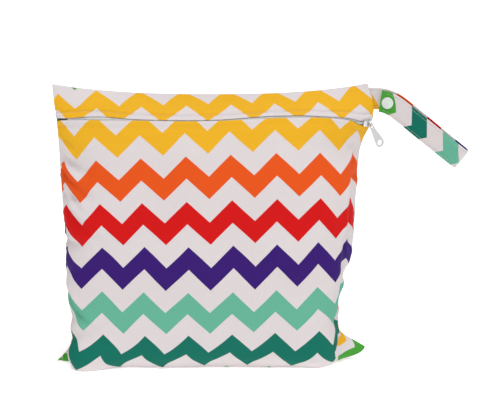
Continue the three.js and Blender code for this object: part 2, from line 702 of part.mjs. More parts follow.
function hang_strap() {
  const line = strap_line();
  const course = strap_course();
  const rings = course.map(({ along, off }, k) => {
    const before = course[Math.max(k - 1, 0)];
    const after = course[Math.min(k + 1, course.length - 1)];
    const [dx, dy] = [after.along - before.along, after.off - before.off];
    const length = Math.hypot(dx, dy);
    const at = strap_at(line, along);
    const middle = at.point.clone().addScaledVector(at.front, off);
    middle.addScaledVector(at.wide, slip_at(off, along));
    const left = at.ahead.clone().multiplyScalar(-dy / length).addScaledVector(at.front, dx / length);
    const corner = (w, t) =>
      middle
        .clone()
        .addScaledVector(at.wide, (w * strap_width) / 2)
        .addScaledVector(left, (t * strap_thickness) / 2);
    return [corner(-1, -1), corner(1, -1), corner(1, 1), corner(-1, 1)];
  });
  const triangles = [];
  for (let k = 0; k < rings.length - 1; k += 1) {
    for (let c = 0; c < 4; c += 1) {
      const n = (c + 1) % 4;
      quad(triangles, rings[k][c], rings[k][n], rings[k + 1][n], rings[k + 1][c]);
    }
  }
  const [first, last] = [rings[0], rings[rings.length - 1]];
  quad(triangles, first[0], first[3], first[2], first[1]);
  quad(triangles, last[0], last[1], last[2], last[3]);
  const hole = snap_post / 2 + fit_gap;
  const drill = new THREE.CylinderGeometry(hole, hole, 3 * snap_stack, drill_sides);
  drill.rotateX(Math.PI / 2).applyMatrix4(snap_frame());
  return surface(solid(body(triangles)).subtract(solid(drill)));
}

// The snap's frame: z out of the strap's front, origin between the layers on the snap's own line
function snap_frame() {
  const at = strap_at(strap_line(), snap_along);
  const origin = at.point.clone().addScaledVector(at.front, snap_stack / 2);
  origin.addScaledVector(at.wide, slip_at(snap_stack, snap_along));
  return new THREE.Matrix4().makeBasis(at.ahead, at.wide, at.front).setPosition(origin);
}

// A turned piece from (radius, height) pairs, standing along z
function turned(profile) {
  const points = profile.map(([radius, height]) => new THREE.Vector2(radius, height));
  return surface(solid(new THREE.LatheGeometry(points, turned_sides).rotateX(Math.PI / 2)));
}

// Heights through the snap, from the middle between the two layers
const layer_inner = (snap_stack - strap_thickness) / 2;
const layer_outer = (snap_stack + strap_thickness) / 2;

// A cap's outline from its foot outwards. side: 1 in front of the strap, -1 behind it.
const cap_outline = (foot, side) =>
  CAP_PROFILE.map(({ out, up }) => [snap_cap * out, foot + side * snap_cap_height * up]);

function snap_socket_side() {
  const cap = layer_outer + fit_gap;
  const socket = layer_inner - fit_gap - socket_height;
  const bore = snap_stud / 2 + fit_gap;
  return turned([
    [0, socket + socket_depth],
    [bore, socket + socket_depth],
    [bore, socket],
    [snap_flange / 2, socket],
    [snap_flange / 2, layer_inner - fit_gap],
    [snap_post / 2, layer_inner - fit_gap],
    [snap_post / 2, cap],
    ...cap_outline(cap, 1),
  ]);
}

function snap_stud_side() {
  const cap = -layer_outer - fit_gap;
  const flange = -layer_inner + fit_gap;
  return turned([
    ...cap_outline(cap, -1).reverse(),
    [snap_post / 2, cap],
    [snap_post / 2, flange],
    [snap_flange / 2, flange],
    [snap_flange / 2, flange + stud_flange_height],
    [snap_stud / 2, flange + stud_flange_height],
    [snap_stud / 2, flange + stud_flange_height + stud_height],
    [0, flange + stud_flange_height + stud_height],
  ]);
}

// Finishes
const cloth_finish = new THREE.MeshStandardMaterial({ color: 0xe0d8d8, roughness: 0.85, metalness: 0 });
const strip_finish = new THREE.MeshStandardMaterial({ color: 0xe3ad2a, roughness: 0.85, metalness: 0 });
const tape_finish = new THREE.MeshStandardMaterial({ color: 0xf0f0ee, roughness: 0.8, metalness: 0 });
const coil_finish = new THREE.MeshStandardMaterial({ color: 0xf4f4f2, roughness: 0.45, metalness: 0 });
const slider_finish = new THREE.MeshStandardMaterial({ color: 0xd9dbdc, roughness: 0.35, metalness: 0.6 });
const tab_finish = new THREE.MeshStandardMaterial({ color: 0xd5d7d6, roughness: 0.4, metalness: 0.2 });
const strap_finish = new THREE.MeshStandardMaterial({ color: 0x2f8a6c, roughness: 0.85, metalness: 0 });
const snap_finish = new THREE.MeshStandardMaterial({ color: 0xdde6dc, roughness: 0.35, metalness: 0 });

const bag = new THREE.Group();
function place(name, geometry, finish, frame) {
  const mesh = new THREE.Mesh(geometry, finish);
  mesh.name = name;
  if (frame) {
    frame.decompose(mesh.position, mesh.quaternion, mesh.scale);
    mesh.updateMatrix();
  }
  bag.add(mesh);
}

// Places along the zip, as shares across the cloth
const tape_first = zip_end_inset / bag_width;
const tape_last = 1 - zip_end_inset / bag_width;
const coil_last = 1 - (slider_from_seam - neck_from + fit_gap) / bag_width;
const tape_span = tape_width / cloth_height;
const tape_split = fit_gap / 2 / cloth_height;
const coil_half = (zip_opening / 2 - fit_gap) / cloth_height;

// One zip tape, between two places down the cloth
const tape_strip = (from, to) =>
  face_strip(from, to, tape_first, tape_last, tape_top, tape_bottom, tape_rows);

place('body_panel', body_panel(), cloth_finish);
place('top_strip', face_strip(0, strip_edge, 0, 1, 0, wall, strip_rows), strip_finish);
place(
  'zipper_tape_upper',
  tape_strip(zip_line - tape_span, zip_line - tape_split),
  tape_finish,
);
place(
  'zipper_tape_lower',
  tape_strip(zip_line + tape_split, zip_line + tape_span),
  tape_finish,
);
place(
  'zipper_coil',
  face_strip(
    zip_line - coil_half,
    zip_line + coil_half,
    tape_first,
    coil_last,
    fit_gap / 2,
    coil_bottom,
    coil_rows,
  ),
  coil_finish,
);
place('zipper_slider', zipper_slider(), slider_finish, slider_frame());
place('pull_tab', pull_tab(), tab_finish, tab_frame());
place('hang_strap', hang_strap(), strap_finish);
place('snap_socket_side', snap_socket_side(), snap_finish, snap_frame());
place('snap_stud_side', snap_stud_side(), snap_finish, snap_frame());

export default bag;
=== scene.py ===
"""Cloth diaper wet bag: a printed, zipped cloth bag that stands on its base, with a snapped hang strap."""

import math

import bmesh
import bpy
import numpy as np
from bpy.props import FloatProperty, FloatVectorProperty, PointerProperty
from bpy.types import Operator, Panel, PropertyGroup
from mathutils import Matrix, Vector


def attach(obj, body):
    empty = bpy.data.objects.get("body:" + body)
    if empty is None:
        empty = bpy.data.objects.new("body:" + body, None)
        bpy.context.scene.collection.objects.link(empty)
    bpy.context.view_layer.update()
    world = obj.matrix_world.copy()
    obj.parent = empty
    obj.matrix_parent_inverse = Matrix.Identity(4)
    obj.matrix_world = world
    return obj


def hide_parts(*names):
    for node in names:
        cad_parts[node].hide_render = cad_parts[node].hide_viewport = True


bl_info = {
    "name": "Cloth diaper wet bag",
    "version": (1, 0, 0),
    "blender": (4, 5, 0),
    "location": "View3D > Sidebar > Wet bag",
    "description": "Builds a printed cloth wet bag with its zip, strap and snap around the packed model",
    "category": "Add Mesh",
}

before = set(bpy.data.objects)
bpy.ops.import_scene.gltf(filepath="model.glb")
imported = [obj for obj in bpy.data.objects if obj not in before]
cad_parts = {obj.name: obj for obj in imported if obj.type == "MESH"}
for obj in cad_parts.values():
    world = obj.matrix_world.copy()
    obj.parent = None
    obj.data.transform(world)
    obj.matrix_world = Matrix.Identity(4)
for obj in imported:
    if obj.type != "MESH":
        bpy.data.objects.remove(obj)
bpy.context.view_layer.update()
MM = 0.001


# Tables of the cloth's shape


def table(columns, *rows):
    """A table with named columns."""
    return dict(zip(columns.split(), np.array(rows, float).T))


# Side seams. down: share of the cloth height from the top seam. out: share of half the width.
# back: share of half the depth behind the middle. up: share of the corner height.
LEFT_SEAM = table(
    "down out back up",
    (0, 0.98, 0, 1),
    (0.06, 0.97, -0.03, 0.94),
    (0.12, 0.955, -0.06, 0.873),
    (0.2, 0.943, -0.1, 0.793),
    (0.35, 0.931, -0.12, 0.649),
    (0.45, 0.917, -0.12, 0.542),
    (0.53, 0.9, -0.12, 0.466),
    (0.6, 0.908, -0.12, 0.397),
    (0.68, 0.908, -0.12, 0.313),
    (0.76, 0.89, -0.12, 0.229),
    (0.83, 0.87, -0.12, 0.158),
    (0.89, 0.872, -0.13, 0.1),
    (0.94, 0.905, -0.18, 0.05),
    (1, 0.972, -0.32, 0.01),
)
RIGHT_SEAM = table(
    "down out back up",
    (0, 0.95, 0.08, 1),
    (0.06, 0.985, 0.08, 0.933),
    (0.09, 0.988, 0.08, 0.897),
    (0.12, 0.972, 0.12, 0.857),
    (0.17, 0.93, 0.22, 0.802),
    (0.22, 0.907, 0.3, 0.748),
    (0.3, 0.895, 0.34, 0.656),
    (0.4, 0.885, 0.36, 0.553),
    (0.5, 0.872, 0.36, 0.447),
    (0.57, 0.855, 0.35, 0.374),
    (0.63, 0.822, 0.33, 0.315),
    (0.7, 0.793, 0.3, 0.25),
    (0.79, 0.785, 0.26, 0.165),
    (0.87, 0.79, 0.2, 0.108),
    (0.92, 0.83, 0.12, 0.086),
    (0.96, 0.89, 0.06, 0.068),
    (1, 0.952, 0, 0.05),
)

# Profiles down the middle. bulge: share of half the depth. up: share of the seam height.
FRONT_PROFILE = table(
    "down bulge up",
    (0, 0, 1),
    (0.03, 0.17, 0.981),
    (0.065, 0.36, 0.952),
    (0.11, 0.53, 0.911),
    (0.2, 0.7, 0.81),
    (0.3, 0.825, 0.695),
    (0.45, 0.935, 0.519),
    (0.6, 0.98, 0.342),
    (0.75, 0.955, 0.164),
    (0.82, 0.9, 0.08),
    (0.86, 0.83, 0.04),
    (0.89, 0.7, 0.019),
    (0.92, 0.5, 0.006),
    (0.95, 0.31, 0),
    (1, 0, 0),
)
BACK_PROFILE = table(
    "down bulge up",
    (0, 0, 1),
    (0.05, 0.17, 0.95),
    (0.1, 0.32, 0.898),
    (0.2, 0.57, 0.787),
    (0.35, 0.83, 0.617),
    (0.5, 0.98, 0.443),
    (0.65, 1.02, 0.266),
    (0.78, 0.97, 0.113),
    (0.84, 0.88, 0.045),
    (0.88, 0.75, 0),
    (0.94, 0.38, 0),
    (1, 0, 0),
)

# How each row runs from seam to middle: (1 - x^square)^round. closed: how far the hollow stays from the
# seam, as a share of half the width.
ROW_SHAPE = table(
    "down square round closed",
    (0, 2.6, 1, 0),
    (0.12, 2.6, 0.7, 0.03),
    (0.2, 2.7, 0.6, 0.025),
    (0.35, 3, 0.42, 0.015),
    (0.6, 3.4, 0.33, 0.012),
    (0.8, 4.2, 0.28, 0.03),
    (0.88, 4.6, 0.3, 0.08),
    (0.95, 4.6, 0.45, 0.17),
    (1, 4.4, 0.5, 0.24),
)

# Corners of the base. face: -1 front, 1 back. side: -1 left, 1 right. The rest are shares of half the depth.
BASE_CORNERS = (
    dict(face=-1, side=-1, out=0.26, ahead=0.32, sink=0.18),
    dict(face=-1, side=1, out=0.06, ahead=0.12, sink=0.12),
    dict(face=1, side=-1, out=0.08, ahead=0.14, sink=0.14),
    dict(face=1, side=1, out=0.08, ahead=0.14, sink=0.12),
)
CORNER_PLACE = dict(down=0.885, tall=0.06, across=0.84, broad=0.17)

# Dents pressed into the cloth. face: -1 front, 1 back. across: share of the width from the left seam.
# long, wide: half lengths as shares of the width. deep: share of half the depth. lean: degrees from level.
FOLDS = table(
    "face down across long wide deep lean",
    (-1, 0.19, 0.03, 0.07, 0.014, 0.07, -38),
    (-1, 0.26, 0.05, 0.06, 0.015, 0.06, -20),
    (-1, 0.37, 0.07, 0.08, 0.018, 0.06, 12),
    (-1, 0.5, 0.04, 0.06, 0.018, 0.05, -8),
    (-1, 0.78, 0.05, 0.07, 0.02, 0.07, 35),
    (-1, 0.17, 0.955, 0.05, 0.013, 0.09, 60),
    (-1, 0.29, 0.96, 0.06, 0.016, 0.06, 25),
    (-1, 0.47, 0.935, 0.14, 0.02, 0.09, 84),
    (-1, 0.62, 0.95, 0.09, 0.02, 0.1, -40),
    (-1, 0.79, 0.94, 0.07, 0.02, 0.07, -25),
    (1, 0.2, 0.06, 0.07, 0.016, 0.07, -30),
    (1, 0.42, 0.06, 0.08, 0.02, 0.07, 6),
    (1, 0.66, 0.05, 0.08, 0.02, 0.08, 20),
    (1, 0.22, 0.94, 0.07, 0.016, 0.07, 32),
    (1, 0.45, 0.94, 0.08, 0.02, 0.08, -8),
    (1, 0.7, 0.94, 0.08, 0.02, 0.08, -22),
)

# Sharper creases of the cloth itself. face: -1 front, 1 back. long, wide: half lengths in millimetres.
# deep: millimetres. lean: degrees from level. Each has a soft ridge on its upper side.
CREASES = table(
    "face down across long wide deep lean",
    (-1, 0.235, 0.04, 16, 4.5, 1.5, -33),
    (-1, 0.315, 0.055, 20, 4, 1.9, -30),
    (-1, 0.365, 0.07, 17, 3.6, 1.6, -47),
    (-1, 0.43, 0.085, 22, 5, 1.7, -38),
    (-1, 0.52, 0.06, 18, 5, 1.4, 14),
    (-1, 0.59, 0.11, 24, 6, 1.2, 32),
    (-1, 0.7, 0.075, 17, 3.8, 1.8, -34),
    (-1, 0.735, 0.1, 15, 3.2, 1.6, -28),
    (-1, 0.8, 0.12, 20, 5.5, 1.6, 38),
    (-1, 0.87, 0.16, 24, 6, 1.3, 22),
    (-1, 0.16, 0.93, 12, 3.6, 1.3, 48),
    (-1, 0.24, 0.945, 15, 4, 1.5, 62),
    (-1, 0.34, 0.93, 18, 4.4, 1.5, 70),
    (-1, 0.44, 0.915, 20, 4.4, 1.9, 82),
    (-1, 0.53, 0.9, 20, 4.6, 1.7, -76),
    (-1, 0.66, 0.925, 17, 4, 1.5, -70),
    (-1, 0.17, 0.22, 36, 8, 0.6, -6),
    (-1, 0.155, 0.5, 44, 8, 0.6, 4),
    (-1, 0.16, 0.78, 36, 8, 0.7, 7),
    (-1, 0.46, 0.3, 46, 13, 0.7, 40),
    (-1, 0.6, 0.68, 52, 14, 0.7, -32),
    (1, 0.22, 0.08, 22, 5, 1.5, -30),
    (1, 0.36, 0.06, 20, 4.6, 1.7, -12),
    (1, 0.5, 0.1, 28, 6, 1.5, 24),
    (1, 0.68, 0.08, 22, 5, 1.7, 38),
    (1, 0.8, 0.14, 26, 6, 1.4, 52),
    (1, 0.2, 0.92, 22, 5, 1.6, 34),
    (1, 0.38, 0.94, 20, 4.6, 1.7, 10),
    (1, 0.55, 0.92, 26, 6, 1.5, -26),
    (1, 0.74, 0.9, 24, 5.4, 1.6, -44),
    (1, 0.33, 0.4, 58, 15, 0.8, 34),
    (1, 0.6, 0.6, 60, 15, 0.8, -28),
)

CREASE_STRENGTH = 1.6

# Ripples at the side seams, each drawn between two ends. gap, wide: shares of the cloth's height. reach:
# metres. high: millimetres. side: strength at the left seam and at the right one.
PUCKERS = dict(
    gap=(0.028, 0.075),
    reach=(0.012, 0.034),
    wide=(0.007, 0.013),
    high=(0.5, 1.5),
    lean=(-0.9, 0.9),
    side=(1, 0.4),
)

# Broad waves of the filled cloth. height: share of their length.
SWELLS = dict(count=9, length=(0.045, 0.1), height=0.005)

# The turned edge beside the zip: its topstitching from the cloth's edge, the share of a stitch at each end
# that lies in the cloth, and the edge's relief in millimetres.
STITCH_LINE = 0.0056
STITCH_GAP = 0.08
WELT = dict(groove=0.9, groove_wide=1.3, roll=0.5, roll_wide=1.9, proud=0.5, fade=3, lap=1.2, thin_from=1.6)

# The strap: its topstitching from its edges, and how the print on its inner side lies off the outer one.
STRAP_STITCH = 0.0022
STRAP_GROOVE = 0.00028
INNER_STRETCH, INNER_LEAD, INNER_SHIFT = 1.1, 0.0058, 0.0136
INNER_STEP, INNER_STEP_AT = 0.0075, 0.178

# The tab's bar behind the bridge, and the bridge's room round it, which the slider and the tab share.
TAB_BAR = 0.0012
BAR_ROOM = 0.0011

# The slider's neck, and its end to the top plate's.
NECK_LENGTH = 0.002
NECK_SETBACK = 0.0006

FLOOR_HALF = 14.0
CAMERA_TARGET = (0.0252, 0.0033, 0.1438)

# Where the top strip's edge and the body's lip lie along the closed zip, which the filling has pulled up.
# across: share of the width. strip, lip: millimetres of cloth below the top seam.
ZIP_EDGES = table(
    "across strip lip",
    (0, 33, 36.4),
    (0.024, 33, 34.8),
    (0.07, 31.4, 33.7),
    (0.12, 29.5, 32.9),
    (0.165, 29.1, 32.7),
    (0.21, 30.1, 32.5),
    (0.26, 31.1, 32.4),
    (0.4, 31.7, 32.8),
    (0.5, 31.3, 32.3),
    (0.55, 30.3, 31.7),
    (0.62, 28.3, 30.5),
    (0.68, 27.3, 29.7),
    (0.757, 27.1, 29.1),
    (0.8, 27.7, 29.4),
    (0.85, 28.9, 30.3),
    (0.9, 30, 31.8),
    (0.925, 31.2, 33.4),
    (0.952, 33, 37),
    (1, 33, 37),
)

# The ears, where the back's cloth shows in front. side: -1 left, 1 right. reach: share of the width that it
# covers. fold: share of the width that the white fold beside it reaches. valley: share where the zigzag is
# lowest. lead: how far the print lies below its plain place, in millimetres.
EARS = (
    dict(side=-1, reach=0.07, fold=0.1, valley=0.04, lead=12.9),
    dict(side=1, reach=0.095, fold=0.11, valley=0.91, lead=19.5),
)
EAR_RUNS = (0.865, 1.02)
EAR_GATHER = 0.8

# How far the print has drifted on the stretched front, in millimetres, at shares of the cloth's height
# (rows) and width (columns). The cloth was filled after it was printed and cut.
DRIFT_DOWN = np.array((0.06, 0.12, 0.2, 0.3, 0.42, 0.54, 0.66, 0.76, 0.84, 0.92))
DRIFT_ACROSS = np.array((0, 0.07, 0.17, 0.3, 0.45, 0.6, 0.75, 0.88, 1))
DRIFT_SIDEWAYS = np.array((
    (-6, -1.2, -1, -1, -2, -2, -1.4, -1.1, 2.5),
    (-0.5, 1.7, 2.4, 0.5, 0.5, 0.9, 0.2, 0.9, 4),
    (-4.9, -1.3, 0, -0.8, -0.6, 0, -0.6, -0.4, 4.3),
    (-9.5, -7, -4.1, -2.5, -1, 0.7, 2.2, 3.1, 6.4),
    (-13.5, -13.6, -10, -4.4, -1.1, 1.8, 6.1, 10.2, 9.7),
    (-12.9, -13.1, -11, -6.4, -2.6, 1.3, 6.9, 12, 9.7),
    (-16.7, -16.6, -15.3, -10.4, -7.2, -4, 0.7, 4.3, 5.3),
    (-21.6, -19.4, -15.6, -11, -8, -4.8, -1.1, -0.9, 0.6),
    (-25.6, -23.1, -19.3, -14.1, -9.3, -4.2, 0.2, 1.1, -0.6),
    (-29.7, -26.8, -22.7, -17.3, -10.5, -3.6, 1.1, 2.1, -0.2),
))
DRIFT_DOWNWARD = np.array((
    (-14, -8.2, -3, -0.3, 1.6, 2.8, 3.4, 2.2, -4),
    (-4.4, -3.8, -2.4, 0.1, 2.5, 3.8, 4.5, 3.9, 2.7),
    (-9.2, -7, -3.8, -0.9, 1.4, 3.1, 4, 2.6, 1.6),
    (-14.5, -9.6, -4.6, -1.6, 0.8, 2.2, 2.7, 1.2, 0.6),
    (-17.2, -10.5, -4.1, -1.3, -0.1, 1.3, 1.9, 0.9, -0.2),
    (-19.5, -12.3, -4.1, -1.1, -0.8, 0.6, 1.6, 1.3, -1.7),
    (-16.4, -11.3, -4.6, -2.4, -2.6, -1.5, -0.4, -1.6, -4.4),
    (-11.2, -8.6, -4, -2.8, -2.1, -1, -0.3, -3.6, -6.7),
    (-4, -2.5, 0.2, -2.2, -0.1, 1.3, 1.6, -2.1, -7),
    (11, 11, 6.5, 1, 1.4, 2.2, 2.1, -1.1, -6.2),
))

# The strap's middle line. along: share of its reach. droop, yaw: degrees below level and forward.
STRAP_ROUTE = table(
    "along droop yaw",
    (0, 0, 0),
    (0.05, 4, 3),
    (0.15, 20, 10),
    (0.26, 35, 14),
    (0.5, 38, 15),
    (1.1, 37, 15),
)


def size(name, default, description, unit="LENGTH"):
    """A length, an angle or a bare number that a user would change."""
    subtype = "DISTANCE" if unit == "LENGTH" else "ANGLE" if unit == "ROTATION" else "NONE"
    return FloatProperty(
        name=name, description=description, default=default, unit=unit, subtype=subtype, precision=4
    )


def colour(name, default, description):
    return FloatVectorProperty(
        name=name, description=description, default=default, subtype="COLOR", size=3, min=0, max=1
    )


class ClothSizes(PropertyGroup):
    """The cloth as it is cut and filled"""

    bag_width: size("Width", 0.3, "Cloth between the side seams, laid flat")
    cloth_height: size("Height", 0.3, "Cloth from the top seam to the middle of the base")
    bag_depth: size("Depth", 0.092, "Front to back where the bag is fullest")
    seam_height: size("Seam height", 0.251, "Middle of the top seam above the base")
    corner_height: size("Corner height", 0.26, "Top corners above the base")
    wall: size("Wall", 0.0015, "Laminated knit with its turned edges")
    base_press: size("Base press", 0.004, "How far the base would sag if nothing carried it")
    fit_gap: size("Fit gap", 0.0003, "Between pieces that touch")
    top_strip_width: size("Top strip", 0.033, "Cloth between the top seam and the zip")
    zip_opening: size("Zip opening", 0.004, "Between the two cloth edges")
    column: size("Column", 0.0018, "Spacing of the cloth's mesh")


class ZipSizes(PropertyGroup):
    """The coil zip, its slider and the pull tab"""

    coil_thickness: size("Coil thickness", 0.0014, "Front to back through the closed coil")
    coil_pitch: size("Coil pitch", 0.0013, "From one turn of the coil to the next")
    coil_wire: size("Coil wire", 0.00056, "Diameter of the coil's filament")
    tape_width: size("Tape width", 0.011, "From the zip's line to the tape's edge")
    tape_thickness: size("Tape thickness", 0.0007, "Woven tape")
    zip_end_inset: size("End inset", 0.012, "Tape ends to the side seams")
    slider_length: size("Slider length", 0.0095, "Along the zip")
    slider_width: size("Slider width", 0.007, "Across the zip")
    slider_plate: size("Slider plate", 0.0012, "Thickness of the top plate")
    foot_plate: size("Foot plate", 0.0009, "Thickness of the plate behind the tapes")
    slider_from_seam: size("Slider from seam", 0.007, "Slider's middle to the right side seam")
    slider_lift: size("Slider lift", 0.0005, "Slider's plates to the cloth and the tapes")
    bridge_wire: size("Bridge wire", 0.0012, "Thickness of the bridge")
    bridge_breadth: size("Bridge breadth", 0.0018, "Breadth of the bridge")
    bridge_offset: size("Bridge offset", 0.002, "Bridge's middle past the slider's")
    tab_length: size("Tab length", 0.025, "Pull tab from hinge line to end")
    tab_head_width: size("Tab head", 0.0044, "Width where it turns round the bridge")
    tab_end_width: size("Tab end", 0.009, "Width across the round end")
    tab_hole: size("Tab hole", 0.0048, "Hole in the round end")
    tab_thickness: size("Tab thickness", 0.0012, "Pull tab")
    hinge_turn: size(
        "Hinge turn", math.radians(54), "From the line of the zip down to the bridge", "ROTATION"
    )


class StrapSizes(PropertyGroup):
    """The hang strap and its snap"""

    strap_width: size("Width", 0.02, "Across the band")
    strap_thickness: size("Thickness", 0.0018, "Folded and stitched band")
    strap_reach: size("Reach", 0.101, "Side seam to the fold")
    strap_spread: size("Spread", 0.008, "Between the layers' middles")
    strap_tuck: size("Tuck", 0.005, "Length held inside the side seam")
    strap_free_end: size("Free end", 0.008, "Free end to the side seam")
    strap_slip: size("Slip", 0.0015, "How far the front layer lies below the back one at its free end")
    strap_seat: size("Seat", 0.047, "Share of the cloth height where it leaves the seam", "NONE")
    snap_from_end: size("Snap from end", 0.0075, "Snap's middle to the free end")
    snap_cap: size("Snap cap", 0.0116, "Diameter of the caps")
    snap_flange: size("Snap flange", 0.0076, "Diameter of the two halves between the layers")
    snap_stud: size("Snap stud", 0.0034, "Diameter of the stud")
    snap_post: size("Snap post", 0.0024, "Diameter through the strap")
    snap_cap_height: size("Cap height", 0.0017, "How far a cap stands off the strap")
    socket_height: size("Socket height", 0.0017, "Socket between the layers")
    stud_flange_height: size("Stud flange", 0.0007, "Stud's flange between the layers")


class PrintSizes(PropertyGroup):
    """The zigzag print"""

    zigzag: size("Zigzag", 0.041, "From one peak to the next")
    zigzag_height: size("Zigzag height", 0.01925, "From peak to valley")
    pitch: size("Pitch", 0.041, "From one colour to the next")
    band: size("Band", 0.5, "Share of the pitch that is coloured", "NONE")
    body_start: size("Body start", 0.0249, "Top edge of the first colour's peaks below the top seam")
    strip_start: size("Strip start", -0.004, "The same on the top strip")
    strap_start: size("Strap start", 0.2226, "Where the first colour starts on the strap, from its free end")
    strap_pitch: size("Strap pitch", 0.0367, "From one colour to the next along the strap")
    strap_height: size("Strap zigzag height", 0.0164, "From peak to valley along the strap")
    strap_tip: size("Strap tips", -0.0036, "The zigzag's tips on the strap above its middle line")
    stitch: size("Stitch", 0.0032, "From one stitch to the next")
    thread: size("Thread", 0.00028, "Diameter of the sewing thread")


class PrintColours(PropertyGroup):
    """The print's colours down the bag"""

    yellow: colour("Yellow", (0.8, 0.42, 0.014), "First colour under the zip and on the top strip")
    orange: colour("Orange", (0.76, 0.085, 0.006), "Second colour")
    red: colour("Red", (0.62, 0.003, 0.003), "Third colour")
    purple: colour("Purple", (0.036, 0.006, 0.155), "Fourth colour")
    mint: colour("Mint", (0.125, 0.43, 0.3), "Fifth colour")
    teal: colour("Teal", (0.002, 0.15, 0.105), "Sixth colour")
    lime: colour("Lime", (0.06, 0.33, 0.035), "Seventh colour")
    ground: colour("Ground", (0.69, 0.63, 0.635), "The cloth between the colours")


class StageSettings(PropertyGroup):
    """The camera and the light"""

    lens: FloatProperty(
        name="Lens", description="Focal length in millimetres", default=129, unit="CAMERA", min=10
    )
    elevation: size("Elevation", math.radians(10), "Camera above level", "ROTATION")
    distance: size("Distance", 1.6, "Camera to what it looks at")
    sky: size("Sky", 0.2, "Strength of the light from all round", "NONE")
    key: size("Key", 2.55, "Strength of the soft light from the upper right", "NONE")
    fill: size("Fill", 0.3, "Strength of the soft light from the left", "NONE")


COLOUR_ORDER = ("yellow", "orange", "red", "purple", "mint", "teal", "lime")


# Shape of the cloth


def smooth(x):
    x = np.clip(x, 0, 1)
    return x * x * (3 - 2 * x)


def read(rows, key, name, at):
    """A table's column at some places, by a cubic through its rows."""
    keys, values = rows[key], rows[name]
    last = len(keys) - 1
    n = np.arange(last + 1)
    before, after = np.maximum(n - 1, 0), np.minimum(n + 1, last)
    slopes = (values[after] - values[before]) / (keys[after] - keys[before])
    at = np.clip(at, keys[0], keys[-1])
    i = np.clip(np.searchsorted(keys, at) - 1, 0, last - 1)
    span = keys[i + 1] - keys[i]
    s = (at - keys[i]) / span
    bend = s * (1 - s) * span * (slopes[i] * (1 - s) - slopes[i + 1] * s)
    return values[i] + (values[i + 1] - values[i]) * smooth(s) + bend


def spaced(first, last, step):
    """Even places from first to last, about a step apart."""
    return np.linspace(first, last, max(1, round((last - first) / step)) + 1)


def by_column(runs):
    """Runs as a grid that has one column or one for each share."""
    runs = np.atleast_1d(np.asarray(runs, float))
    return runs if runs.ndim == 2 else runs[:, None]


def unit(v):
    return v / np.maximum(np.linalg.norm(v, axis=-1, keepdims=True), 1e-12)


